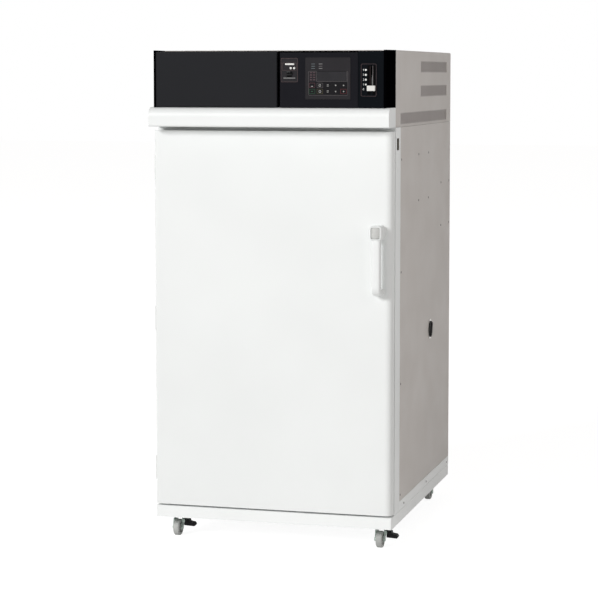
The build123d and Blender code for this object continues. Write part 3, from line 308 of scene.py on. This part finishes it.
def lathe(radii, along, centre, axis, count=20, turn=0.0):
    # a profile turned about an axis: centre + along * axis + radius * (cos, sin) in the plane across it
    axis = np.array(axis, float)
    across = np.cross(axis, [0, 0, 1] if abs(axis[2]) < 0.9 else [1, 0, 0])
    across /= np.linalg.norm(across)
    upward = np.cross(axis, across)
    angle = turn + np.linspace(0, 2 * pi, count, endpoint=False)
    circle = np.cos(angle)[:, None] * across + np.sin(angle)[:, None] * upward
    radii, along = np.array(radii, float), np.array(along, float)
    rings = np.array(centre) + along[:, None, None] * axis + radii[:, None, None] * circle
    return closedStack(rings)


def joined(parts):
    # several surfaces as one, with the face numbers moved on
    points, faces, start = [], [], 0
    for partPoints, partFaces in parts:
        points.append(partPoints)
        faces += [[corner + start for corner in face] for face in partFaces]
        start += len(partPoints)
    return np.concatenate(points), faces


def closeMesh(mesh):
    # corners that meet become one, then every face is turned outwards
    loose = bmesh.new()
    loose.from_mesh(mesh)
    bmesh.ops.remove_doubles(loose, verts=loose.verts, dist=1e-6)
    bmesh.ops.recalc_face_normals(loose, faces=loose.faces)
    loose.to_mesh(mesh)
    loose.free()


def smoothMesh(mesh, sharp):
    mesh.shade_smooth()
    mesh.set_sharp_from_angle(angle=radians(sharp))


def makePiece(name, body, coloured, sharp=35):
    # coloured: (finish, surface) pairs; each surface keeps its own finish in the one mesh
    mesh = bpy.data.meshes.new(name)
    points, faces = joined([surface for _, surface in coloured])
    mesh.from_pydata((points * mm).tolist(), [], faces)
    finishNames = list(dict.fromkeys(finish for finish, _ in coloured))
    for finish in finishNames:
        mesh.materials.append(finishes[finish])
    counts = [len(surface[1]) for _, surface in coloured]
    index = np.repeat([finishNames.index(finish) for finish, _ in coloured], counts)
    mesh.polygons.foreach_set("material_index", index.astype(np.int32))
    closeMesh(mesh)
    smoothMesh(mesh, sharp)
    piece = bpy.data.objects.new(name, mesh)
    bpy.context.scene.collection.objects.link(piece)
    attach(piece, body)
    return piece


def digitSurface(text, size, place, depth=0.2):
    # plain numerals from the built-in font, made a mesh and stood up to face -Y
    curve = bpy.data.curves.new("digit", "FONT")
    curve.body = text
    curve.size = size
    curve.extrude = depth / 2
    curve.align_x = "CENTER"
    curve.align_y = "CENTER"
    holder = bpy.data.objects.new("digit", curve)
    bpy.context.scene.collection.objects.link(holder)
    mesh = bpy.data.meshes.new_from_object(holder.evaluated_get(bpy.context.evaluated_depsgraph_get()))
    flat = np.empty(len(mesh.vertices) * 3)
    mesh.vertices.foreach_get("co", flat)
    flat = flat.reshape(-1, 3)
    points = np.stack([place[0] + flat[:, 0], place[1] - flat[:, 2], place[2] + flat[:, 1]], 1)
    faces = [list(face.vertices) for face in mesh.polygons]
    bpy.data.objects.remove(holder)
    bpy.data.curves.remove(curve)
    bpy.data.meshes.remove(mesh)
    return points, faces


# controller front: printed outlines, indicator rows and the symbols on the keys

controller = {"line": 0.9, "proud": 0.25, "sunk": 0.3, "edge": 0.1,
              "panelWidth": 138, "panelUp": 80.5, "panelDown": -1, "panelCorner": 4, "panelShift": 1,
              "glassRim": 1.5, "rowX": (21, 47), "rowDrop": (22, 29.5, 37), "rowSize": (13, 2.2),
              "rowCorner": 1, "rowEdge": 0.15, "lampX": (20, 31), "lampDrop": (51, 59, 67, 75),
              "lampSize": (7.5, 3.2), "lampCorner": 1.2, "lampLine": 0.8, "lampFill": (4.6, 1.6),
              "fillCorner": 0.7, "keyPitch": (27.5, 20.5), "keySize": (21, 16), "keyCorner": 2.4,
              "keySink": 0.8, "keyProud": 0.15}
mark = {"arrowR": 3.2, "dot": 4.4, "bar": (6.5, 2.2), "barCorner": 0.8, "underDrop": 1.6, "pairHeight": 0.7,
        "pairCorner": 0.6, "ring": (7.5, 8.5), "ringCorner": 3, "ringLine": 1.3}
rowFinishes = (("printDim", "printDim", "printDim"), ("printMid", "printGrey", "printMid"))
keyMarks = (("under", "ring", "pair", "up", "dot"), ("mark", "ring", "pair", "down", "dot"))
keyLines = (("printPink", "printGrey", None, None, None),
            ("printGreen", "printAmber", None, None, "printRed"))


def arrowSurface(x, z, back, front, turn):
    # three corners at a third of a turn each, carried straight from back to front
    angle = turn + np.arange(3) * 2 * pi / 3
    ring = mark["arrowR"] * np.stack([np.cos(angle), np.zeros(3), np.sin(angle)], 1)
    return closedStack(np.array([ring + (x, back, z), ring + (x, front, z)]))


def markSurfaces(kind, x, z, keyFront):
    back, front, edge = keyFront + controller["sunk"], keyFront - controller["keyProud"], controller["edge"]
    wide, high = mark["bar"]
    if kind == "up" or kind == "down":
        return [arrowSurface(x, z, back, front, pi / 2 if kind == "up" else -pi / 2)]
    if kind == "dot":
        return [plate((x, z), (mark["dot"],) * 2, mark["dot"] / 2, back, front, edge)]
    if kind == "ring":
        return [frameLine((x, z), mark["ring"], mark["ringCorner"], mark["ringLine"], back, front)]
    if kind == "pair":
        pairSize = (wide, high * mark["pairHeight"])
        return [plate((x, z + step * high), pairSize, mark["pairCorner"], back, front, edge)
                for step in (-1, 1)]
    drop = high * mark["underDrop"] if kind == "under" else 0
    return [plate((x, z - drop), (wide, high), mark["barCorner"], back, front, edge)]


def makeController():
    low, high = nodeBox("controller_body")
    glassLow, glassHigh = nodeBox("display_window")
    filmLow, filmHigh = nodeBox("keypad_film")
    front = low[1]
    back, proud = front + controller["sunk"], front - controller["proud"]
    line = controller["line"]
    middle = (low[0] + high[0]) / 2
    panelTop, panelFoot = filmLow[2] + controller["panelUp"], filmLow[2] + controller["panelDown"]
    coloured = [("printGrey", frameLine((middle + controller["panelShift"], (panelTop + panelFoot) / 2),
                                        (controller["panelWidth"], panelTop - panelFoot),
                                        controller["panelCorner"], line, back, proud))]
    glassMiddle = ((glassLow[0] + glassHigh[0]) / 2, (glassLow[2] + glassHigh[2]) / 2)
    rim = controller["glassRim"]
    glassSize = (glassHigh[0] - glassLow[0] + 2 * rim, glassHigh[2] - glassLow[2] + 2 * rim)
    coloured.append(("printGrey", frameLine(glassMiddle, glassSize, rim, line, back, proud)))
    for rowX, finishNames in zip(controller["rowX"], rowFinishes):
        for drop, finish in zip(controller["rowDrop"], finishNames):
            place = (low[0] + rowX + controller["rowSize"][0] / 2, high[2] - drop)
            coloured.append((finish, plate(place, controller["rowSize"], controller["rowCorner"], back,
                                           proud, controller["rowEdge"])))
    for lampX in controller["lampX"]:
        for drop in controller["lampDrop"]:
            place = (low[0] + lampX, high[2] - drop)
            coloured.append(("printPink", frameLine(place, controller["lampSize"], controller["lampCorner"],
                                                    controller["lampLine"], back, proud)))
            coloured.append(("lampDark", plate(place, controller["lampFill"], controller["fillCorner"], back,
                                               proud, controller["edge"])))
    filmZ = (filmLow[2] + filmHigh[2]) / 2
    keyFront = filmLow[1]
    for row, kinds in enumerate(keyMarks):
        for column, kind in enumerate(kinds):
            x = middle + (column - 2) * controller["keyPitch"][0]
            z = filmZ + (0.5 - row) * controller["keyPitch"][1]
            lineFinish = keyLines[row][column]
            if lineFinish:
                keyBack, keyProud = keyFront + controller["keySink"], keyFront - controller["keyProud"]
                coloured.append((lineFinish, frameLine((x, z), controller["keySize"],
                                                       controller["keyCorner"], line, keyBack, keyProud)))
            markFinish = "printGreen" if lineFinish == "printGreen" else "printPale"
            coloured += [(markFinish, surface) for surface in markSurfaces(kind, x, z, keyFront)]
    makePiece("controller_print", "cabinet", coloured)


makeController()
print("stage: controller")


# breaker: outline, an inner outline round a bar and two buttons, and the status bar

breaker = {"line": 1.4, "proud": 0.4, "sunk": 0.5, "edge": 0.2, "corner": 3, "innerDrop": (16, 42),
           "innerInset": 4, "innerCorner": 3.5, "innerLine": 1.2, "barSize": (32, 5.4), "barCorner": 1.5,
           "barDrop": 20.5, "barShift": 1, "dots": (5, 17), "dotDrop": 34, "dotSize": 7.6, "dotRise": 0.4,
           "statusSize": (42, 3.4), "statusCorner": 1.2, "statusDrop": 67.5}


def makeBreaker():
    low, high = nodeBox("breaker_body")
    front = low[1]
    back, proud = front + breaker["sunk"], front - breaker["proud"]
    middle = (low[0] + high[0]) / 2
    size = (high[0] - low[0], high[2] - low[2])
    edge = breaker["edge"]
    coloured = [("printBrown", frameLine((middle, (low[2] + high[2]) / 2), size, breaker["corner"],
                                         breaker["line"], back, proud))]
    innerZ = high[2] - sum(breaker["innerDrop"]) / 2
    innerSize = (size[0] - 2 * breaker["innerInset"], breaker["innerDrop"][1] - breaker["innerDrop"][0])
    coloured.append(("printBrown", frameLine((middle, innerZ), innerSize, breaker["innerCorner"],
                                             breaker["innerLine"], back, proud)))
    coloured.append(("printWhite", plate((middle + breaker["barShift"], high[2] - breaker["barDrop"]),
                                         breaker["barSize"], breaker["barCorner"], back, proud, edge)))
    for dotX in breaker["dots"]:
        place = (middle + dotX, high[2] - breaker["dotDrop"])
        coloured.append(("printWhite", plate(place, (breaker["dotSize"],) * 2, breaker["dotSize"] / 2, back,
                                             proud - breaker["dotRise"], breaker["dotRise"])))
    coloured.append(("printMid", plate((middle, high[2] - breaker["statusDrop"]), breaker["statusSize"],
                                       breaker["statusCorner"], back, proud, edge)))
    makePiece("breaker_print", "cabinet", coloured)


makeBreaker()
print("stage: breaker")


# damper scale: outline, dark bed on both sides of the slot, its two tracks, dots and plain numerals

damper = {"line": 1.1, "proud": 0.3, "sunk": 0.4, "edge": 0.1, "plateLeft": 36, "plateFoot": 18,
          "plateSize": (53, 109), "corner": 5, "slotHalf": 3.2, "bedHalf": 14, "bedHeight": 98,
          "bedCorner": 2, "bedDown": 0.15, "trackRise": 8, "trackHeight": 80, "trackCorner": 0.4,
          "digitOut": 0.1,
          "tracks": ((-4.6, 0.8, "printBrown"), (4.8, 2.2, "printGrey")),
          "dotX": -19.5, "dotDrop": (20.5, 37, 53, 69.5), "dotSize": (6.8, 7.2, 6.8, 5.8),
          "digitX": -27.5, "digitSize": 9.5, "digitDrop": (20.5, 37, 53, 69.5, 85.5)}


def makeDamperScale():
    front = nodeBox("damper_panel")[0][1]
    knobLow, knobHigh = nodeBox("damper_knob")
    knobX = (knobLow[0] + knobHigh[0]) / 2
    back, proud = front + damper["sunk"], front - damper["proud"]
    wide, tall = damper["plateSize"]
    plateX = knobX - damper["plateLeft"] + wide / 2
    plateZ = knobLow[2] - damper["plateFoot"] + tall / 2
    top = plateZ + tall / 2
    edge = damper["edge"]
    coloured = [("printBrown", frameLine((plateX, plateZ), damper["plateSize"], damper["corner"],
                                         damper["line"], back, proud))]
    stripWide = damper["bedHalf"] - damper["slotHalf"]
    for side in (-1, 1):
        stripX = knobX + side * (damper["slotHalf"] + stripWide / 2)
        coloured.append(("bedBlack", plate((stripX, plateZ), (stripWide, damper["bedHeight"]),
                                           damper["bedCorner"], back, proud + damper["bedDown"], edge)))
    for shift, trackWide, finish in damper["tracks"]:
        coloured.append((finish, plate((knobX + shift, plateZ + damper["trackRise"]),
                                       (trackWide, damper["trackHeight"]), damper["trackCorner"], back,
                                       proud, edge)))
    for drop, size in zip(damper["dotDrop"], damper["dotSize"]):
        place = (knobX + damper["dotX"], top - drop)
        coloured.append(("printWhite", plate(place, (size, size), size / 2, back, proud, edge)))
    highest = len(damper["digitDrop"]) - 1
    for number, drop in enumerate(damper["digitDrop"]):
        place = (knobX + damper["digitX"], proud + damper["digitOut"], top - drop)
        coloured.append(("printWhite", digitSurface(str(highest - number), damper["digitSize"], place)))
    makePiece("damper_scale", "cabinet", coloured)


makeDamperScale()
print("stage: damper scale")


# bow handle: a soft block with the button's pocket, and a grip swept down into the lower foot

handle = {"x": 379, "doorY": -510, "blockSize": (45, 50), "blockZ": 1103, "blockFront": -572,
          "blockCorner": 12, "blockEdge": 7, "gripY": -557, "footZ": 899, "bend": 24, "gripHalf": 16,
          "gripThick": 12, "footGrow": 2.5, "growFade": 14, "footThin": 1, "thinFade": 6, "squareness": 3.2,
          "pocket": (31.8, 38.8), "pocketCorner": 5.4, "pocketZ": 1104, "pocketBack": -556, "cutOut": 4,
          "boreR": 4.3, "boreFrom": 2, "boreDeep": 70, "sharp": 40}


def gripSurface():
    # superellipse section carried out from the door, round a quarter bend and up into the block
    turn = np.linspace(0, pi / 2, 12)
    outY = handle["gripY"] + handle["bend"]
    y = np.concatenate([np.linspace(handle["doorY"], outY, 6), outY - handle["bend"] * np.sin(turn)[1:],
                        np.full(22, handle["gripY"])])
    z = np.concatenate([np.full(6, handle["footZ"]),
                        handle["footZ"] + handle["bend"] * (1 - np.cos(turn))[1:],
                        np.linspace(handle["footZ"] + handle["bend"], handle["blockZ"], 23)[1:]])
    along = np.stack([np.gradient(y), np.gradient(z)], 1)
    along /= np.linalg.norm(along, axis=1)[:, None]
    angle = np.linspace(0, 2 * pi, 40, endpoint=False)
    power = 2 / handle["squareness"]
    sectionX = np.sign(np.cos(angle)) * np.abs(np.cos(angle)) ** power
    sectionT = np.sign(np.sin(angle)) * np.abs(np.sin(angle)) ** power
    share = np.linspace(0, 1, len(y))
    halfW = handle["gripHalf"] + handle["footGrow"] * np.exp(-share * handle["growFade"])
    halfT = handle["gripThick"] - handle["footThin"] * np.exp(-share * handle["thinFade"])
    rings = np.empty((len(y), len(angle), 3))
    rings[..., 0] = handle["x"] + halfW[:, None] * sectionX
    rings[..., 1] = y[:, None] - halfT[:, None] * sectionT * along[:, 1:2]
    rings[..., 2] = z[:, None] + halfT[:, None] * sectionT * along[:, 0:1]
    return closedStack(rings)


def cutWith(piece, surface, operation):
    # boolean with a passing tool, applied to the piece's mesh
    mesh = bpy.data.meshes.new("tool")
    mesh.from_pydata((surface[0] * mm).tolist(), [], surface[1])
    closeMesh(mesh)
    tool = bpy.data.objects.new("tool", mesh)
    bpy.context.scene.collection.objects.link(tool)
    modifier = piece.modifiers.new("cut", "BOOLEAN")
    modifier.operation = operation
    modifier.solver = "EXACT"
    modifier.object = tool
    bpy.context.view_layer.update()
    result = bpy.data.meshes.new_from_object(piece.evaluated_get(bpy.context.evaluated_depsgraph_get()))
    piece.modifiers.remove(modifier)
    piece.data = result
    bpy.data.objects.remove(tool)


def makeHandle():
    centre = (handle["x"], handle["blockZ"])
    block = plate(centre, handle["blockSize"], handle["blockCorner"], handle["doorY"], handle["blockFront"],
                  handle["blockEdge"], 8)
    body = makePiece("handle_shell", "door", [("handleWhite", block)])
    cutWith(body, gripSurface(), "UNION")
    pocket = plate((handle["x"], handle["pocketZ"]), handle["pocket"], handle["pocketCorner"],
                   handle["pocketBack"], handle["blockFront"] - handle["cutOut"], 0.2)
    cutWith(body, pocket, "DIFFERENCE")
    boreStart = (handle["x"], handle["blockFront"] + handle["boreFrom"], handle["pocketZ"])
    bore = lathe((handle["boreR"],) * 2, (0, handle["boreDeep"]), boreStart, (0, 1, 0), 24)
    cutWith(body, bore, "DIFFERENCE")
    smoothMesh(body.data, handle["sharp"])
    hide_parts("handle_body")


button = {"corner": 5, "back": 12, "fallX": 5.4, "powerX": 2.4, "fallZ": 3.4, "powerZ": 4, "ribs": 8,
          "ribDepth": 1.2, "ribReach": 0.82, "ribFade": 8, "stemR": 4, "stemFrom": 11}


def capped(front, back):
    # a surface over a grid, walled straight back to one depth and closed there
    rows, columns = front.shape[:2]
    index = np.arange(rows * columns).reshape(rows, columns)
    rim = np.concatenate([index[0, :-1], index[:-1, -1], index[-1, :0:-1], index[:0:-1, 0]])
    points = front.reshape(-1, 3)
    rear = points[rim].copy()
    rear[:, 1] = back
    here = np.arange(len(rim))
    beyond = np.roll(here, -1)
    walls = np.stack([rim, np.roll(rim, -1), len(points) + beyond, len(points) + here], 1).tolist()
    faces = gridFaces(rows, columns, closeColumns=False) + walls + [(len(points) + here).tolist()]
    return np.concatenate([points, rear]), faces


def buttonSurface(low, high):
    # rounded rectangle in rows; the front falls away towards its edges by a power of the share from the
    # middle, and raised cosine ribs run across it and fade near the ends
    halfW, halfH = (high[0] - low[0]) / 2, (high[2] - low[2]) / 2
    across, along = np.linspace(-1, 1, 19)[None, :], np.linspace(-1, 1, 101)[:, None]
    inCorner = np.clip((np.abs(along) * halfH - halfH + button["corner"]) / button["corner"], 0, 1)
    width = halfW - button["corner"] * (1 - np.sqrt(1 - inCorner ** 2))
    furthest = np.maximum(np.abs(across), np.abs(along))
    reach = np.clip((button["ribReach"] - furthest) * button["ribFade"], 0, 1)
    wave = 0.5 + 0.5 * np.cos(pi * button["ribs"] * along)
    fallX = button["fallX"] * np.abs(across) ** button["powerX"]
    fallZ = button["fallZ"] * np.abs(along) ** button["powerZ"]
    y = low[1] + fallX + fallZ + button["ribDepth"] * (1 - wave * reach)
    x = (low[0] + high[0]) / 2 + width * across
    z = (low[2] + high[2]) / 2 + halfH * along + 0 * across
    return capped(np.stack([x, y, z], 2), low[1] + button["back"])


def makeButton():
    low, high = nodeBox("handle_button")
    middle = (low + high) / 2
    stem = lathe((button["stemR"],) * 2, (button["stemFrom"], high[1] - low[1]),
                 (middle[0], low[1], middle[2]), (0, 1, 0))
    piece = makePiece("button_cap", "handle_button",
                      [("buttonGrey", buttonSurface(low, high)), ("buttonGrey", stem)], sharp=50)
    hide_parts("handle_button")


makeHandle()
makeButton()
print("stage: handle and button")


# screws: domed heads with a cross recess where the CAD screws stand

screw = {"spokes": 16, "rings": (1.0, 0.97, 0.8, 0.55, 0.3, 0.12), "dome": 0.45, "recess": 0.7, "arm": 0.6,
         "core": 0.2}


def islandBoxes(name):
    # lowest and highest corner of each separate solid of a node, found from its shared corners
    mesh = bmesh.new()
    mesh.from_mesh(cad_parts[name].data)
    bmesh.ops.remove_doubles(mesh, verts=mesh.verts, dist=1e-6)
    seen, boxes = set(), []
    for vert in mesh.verts:
        if vert in seen:
            continue
        island, queue = [], [vert]
        seen.add(vert)
        while queue:
            current = queue.pop()
            island.append(current.co[:])
            for edge in current.link_edges:
                other = edge.other_vert(current)
                if other not in seen:
                    seen.add(other)
                    queue.append(other)
        island = np.array(island) / mm
        boxes.append((island.min(0), island.max(0)))
    mesh.free()
    return boxes


def screwSurface(centre, axis, radius, height):
    # height over a polar grid: a dome, less a recess along the four arms of a cross
    share = np.array(screw["rings"])[:, None]
    angle = np.linspace(0, 2 * pi, screw["spokes"], endpoint=False)[None, :]
    dome = height * (1 - screw["dome"] * share ** 2)
    dome[0] = 0
    onArm = np.isclose(np.abs(np.cos(2 * angle)), 1) & (share < screw["arm"])
    rise = np.where(onArm | (share < screw["core"]), dome - height * screw["recess"], dome)
    axis = np.array(axis, float)
    across = np.array([0, 0, 1.0])
    beside = np.cross(axis, across)
    x = radius * share * np.cos(angle)
    y = radius * share * np.sin(angle)
    return closedStack(centre + rise[..., None] * axis + x[..., None] * across + y[..., None] * beside)


def makeScrews():
    surfaces = []
    for low, high in islandBoxes("panel_screws"):
        thin = int(np.argmin(high - low))
        centre = (low + high) / 2
        outward = 1.0 if centre[thin] > 0 else -1.0
        axis = np.zeros(3)
        axis[thin] = outward
        height = high[thin] - low[thin]
        centre[thin] -= outward * height / 2
        # every head takes the darkened nickel, painted shade for its recess
        surfaces.append(("screwNickel", screwSurface(centre, axis, (high - low).max() / 2, height)))
    piece = makePiece("screw_heads", "cabinet", surfaces)
    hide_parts("panel_screws")


makeScrews()
print("stage: screws")


# casters: hexagon nuts under the plates, axle bolt heads, flared fork cheeks and wheel hubs

caster = {"plateOver": 60, "plateT": 3, "nutAt": (31, 37), "nutR": 7.2, "nutH": 4.5, "nutTurn": 0.3,
          "boltR": 6.8, "boltH": 4, "hexEdge": 0.8, "crownR": 20.5, "crownDrop": 5.5, "crownTurn": 52,
          "footHalf": 8, "footUp": 10, "flarePower": 1.4, "flareLeast": 0.3, "lip": 2, "lipFrom": 0.72,
          "sunk": 1, "hubRadii": (8.5, 9.5, 9.5, 6.5), "hubStart": 0.4, "hubEnds": (2.2, 1.2)}


def hexagon(centre, axis, radius, height, turn=0.0):
    edge = caster["hexEdge"]
    return lathe((radius - edge, radius, radius, radius - edge), (0, edge, height - edge, height), centre,
                 axis, 6, turn)


def skirtSurface(pivot, axle, side, cheekX, topZ):
    # pressed flare of a fork cheek: at the top it follows the round crown, crownR * (cos, sin), and it dies
    # out into the flat cheek by a power of the way down, with a rolled lip along both edges
    down = np.linspace(0, 1, 14)[:, None]
    across = np.linspace(-1, 1, 25)[None, :]
    turn = radians(caster["crownTurn"]) * across
    left = (1 - down) ** caster["flarePower"]
    flare = np.maximum(caster["crownR"] * np.cos(turn) - cheekX, caster["flareLeast"]) * left
    onLip = np.clip((np.abs(across) - caster["lipFrom"]) / (1 - caster["lipFrom"]), 0, 1)
    lip = caster["lip"] * onLip ** 2 * (1 - 0.5 * down)
    crownY = pivot[1] + caster["crownR"] * np.sin(turn)
    footY = axle[1] + caster["footHalf"] * across
    y = crownY + (footY - crownY) * down
    z = topZ + (axle[2] + caster["footUp"] - topZ) * down + 0 * across
    outer = np.stack([pivot[0] + side * (cheekX + flare + lip), y, z], 2)
    inner = np.stack([np.full_like(y, pivot[0] + side * (cheekX - caster["sunk"])), y, z], 2)
    return closedStack(np.concatenate([outer, inner[:, ::-1]], 1))


def makeCasters():
    coloured = []
    for low, high in islandBoxes("caster_plates"):
        if (high - low)[0] <= caster["plateOver"]:
            continue
        x, y = (low[0] + high[0]) / 2, (low[1] + high[1]) / 2
        for nutX in (-caster["nutAt"][0], caster["nutAt"][0]):
            for nutY in (-caster["nutAt"][1], caster["nutAt"][1]):
                place = (x + nutX, y + nutY, high[2] - caster["plateT"])
                coloured.append(("zincSteel", hexagon(place, (0, 0, -1), caster["nutR"], caster["nutH"],
                                                      caster["nutTurn"] * nutX)))
    makePiece("caster_nuts", "cabinet", coloured)
    for name in nodesLike("caster_fork"):
        corner = name.replace("caster_fork_", "")
        wheelLow, wheelHigh = nodeBox("caster_wheel_" + corner)
        axle = (wheelLow + wheelHigh) / 2
        half = (wheelHigh[0] - wheelLow[0]) / 2
        forkLow, forkHigh = nodeBox(name)
        boltX = forkLow[0] + caster["boltH"]
        head = hexagon((boltX, axle[1], axle[2]), (-1, 0, 0), caster["boltR"], caster["boltH"])
        makePiece("axle_head_" + corner, name, [("zincSteel", head)])
        pivot = (axle[0], forkHigh[1] - caster["crownR"])
        cheekX = pivot[0] - boltX
        sides = (-1,) if corner.startswith("front") else (-1, 1)
        skirts = [("casterZinc", skirtSurface(pivot, axle, side, cheekX, forkHigh[2] - caster["crownDrop"]))
                  for side in sides]
        makePiece("fork_skirt_" + corner, name, skirts)
        hubAlong = (0, caster["hubStart"], half - caster["hubEnds"][0], half - caster["hubEnds"][1])
        hub = [("hubGrey", lathe(caster["hubRadii"], hubAlong, axle, (side, 0, 0), 28)) for side in (-1, 1)]
        makePiece("wheel_hub_" + corner, "caster_wheel_" + corner, hub)


makeCasters()
print("stage: casters")


# camera, lamps, backdrop and floor

cameraView = {"place": (1.90823, -7.19418, 1.63586), "yawDegrees": 15.161, "pitchDegrees": 4.633,
              "lensMm": 121.925, "sensorMm": 36, "shiftUp": -0.1003}
cameraData = bpy.data.cameras.new("camera")
cameraData.lens = cameraView["lensMm"]
cameraData.sensor_width = cameraView["sensorMm"]
cameraData.shift_y = cameraView["shiftUp"]
camera = bpy.data.objects.new("camera", cameraData)
camera.location = cameraView["place"]
camera.rotation_euler = (radians(90 - cameraView["pitchDegrees"]), 0, radians(cameraView["yawDegrees"]))
bpy.context.scene.collection.objects.link(camera)
bpy.context.scene.camera = camera

lampSet = {
    "key": {"place": (-8.3, -15.0, 7.6), "size": 4.5, "watts": 2060, "colour": (1.0, 1.0, 1.0)},
    "sideFill": {"place": (2.9, -1.9, 2.2), "size": 2.0, "watts": 18, "colour": (1.0, 0.965, 0.94)},
}
aim = np.array([0.0, 0.0, 0.85])
for lampName, lamp in lampSet.items():
    lampData = bpy.data.lights.new(lampName, "AREA")
    lampData.shape = "SQUARE"
    lampData.size = lamp["size"]
    lampData.energy = lamp["watts"]
    lampData.color = lamp["colour"]
    lampObject = bpy.data.objects.new(lampName, lampData)
    lampObject.location = lamp["place"]
    towards = aim - np.array(lamp["place"])
    yaw = np.arctan2(towards[1], towards[0]) - pi / 2
    tilt = np.arctan2(np.hypot(towards[0], towards[1]), -towards[2])
    lampObject.rotation_euler = (tilt, 0, yaw)
    bpy.context.scene.collection.objects.link(lampObject)

worldLight = {"colour": (1.0, 0.965, 0.94), "strength": 0.28}
world = bpy.data.worlds.new("studio")
bpy.context.scene.world = world
world.use_nodes = True
worldTree = world.node_tree
plainBack = worldTree.nodes["Background"]
plainBack.inputs["Color"].default_value = (*worldLight["colour"], 1)
plainBack.inputs["Strength"].default_value = worldLight["strength"]
whiteBack = worldTree.nodes.new("ShaderNodeBackground")
whiteBack.inputs["Color"].default_value = (1, 1, 1, 1)
backMix = worldTree.nodes.new("ShaderNodeMixShader")


def seenRays(tree):
    # 1 for rays that see the backdrop: from the camera, in a reflection or through glass
    rays = tree.nodes.new("ShaderNodeLightPath")
    first = tree.nodes.new("ShaderNodeMath")
    first.operation = "MAXIMUM"
    second = tree.nodes.new("ShaderNodeMath")
    second.operation = "MAXIMUM"
    tree.links.new(rays.outputs["Is Camera Ray"], first.inputs[0])
    tree.links.new(rays.outputs["Is Glossy Ray"], first.inputs[1])
    tree.links.new(first.outputs[0], second.inputs[0])
    tree.links.new(rays.outputs["Is Transmission Ray"], second.inputs[1])
    return second.outputs[0]


worldTree.links.new(seenRays(worldTree), backMix.inputs["Fac"])
worldTree.links.new(plainBack.outputs[0], backMix.inputs[1])
worldTree.links.new(whiteBack.outputs[0], backMix.inputs[2])
worldTree.links.new(backMix.outputs[0], worldTree.nodes["World Output"].inputs["Surface"])

floorFinish = {"half": 40.0, "bounce": 0.92, "seenDiffuse": 0.36, "seenGlow": 0.89}
floorMaterial = bpy.data.materials.new("floorPale")
floorMaterial.use_nodes = True
floorTree = floorMaterial.node_tree
floorTree.nodes.remove(floorTree.nodes["Principled BSDF"])
bounce = floorTree.nodes.new("ShaderNodeBsdfDiffuse")
bounce.inputs["Color"].default_value = (floorFinish["bounce"],) * 3 + (1,)
seenDiffuse = floorTree.nodes.new("ShaderNodeBsdfDiffuse")
seenDiffuse.inputs["Color"].default_value = (floorFinish["seenDiffuse"],) * 3 + (1,)
seenGlow = floorTree.nodes.new("ShaderNodeEmission")
seenGlow.inputs["Strength"].default_value = floorFinish["seenGlow"]
seenSum = floorTree.nodes.new("ShaderNodeAddShader")
floorMix = floorTree.nodes.new("ShaderNodeMixShader")
floorTree.links.new(seenDiffuse.outputs[0], seenSum.inputs[0])
floorTree.links.new(seenGlow.outputs[0], seenSum.inputs[1])
floorTree.links.new(seenRays(floorTree), floorMix.inputs["Fac"])
floorTree.links.new(bounce.outputs[0], floorMix.inputs[1])
floorTree.links.new(seenSum.outputs[0], floorMix.inputs[2])
floorTree.links.new(floorMix.outputs[0], floorTree.nodes["Material Output"].inputs["Surface"])
corner = np.array([(-1, -1, 0), (1, -1, 0), (1, 1, 0), (-1, 1, 0)]) * floorFinish["half"]
floorMesh = bpy.data.meshes.new("floor")
floorMesh.from_pydata(corner.tolist(), [], [(0, 1, 2, 3)])
floorMesh.materials.append(floorMaterial)
floor = bpy.data.objects.new("floor", floorMesh)
bpy.context.scene.collection.objects.link(floor)
bpy.context.scene.view_settings.view_transform = "Standard"
print("stage: camera, lamps and floor")
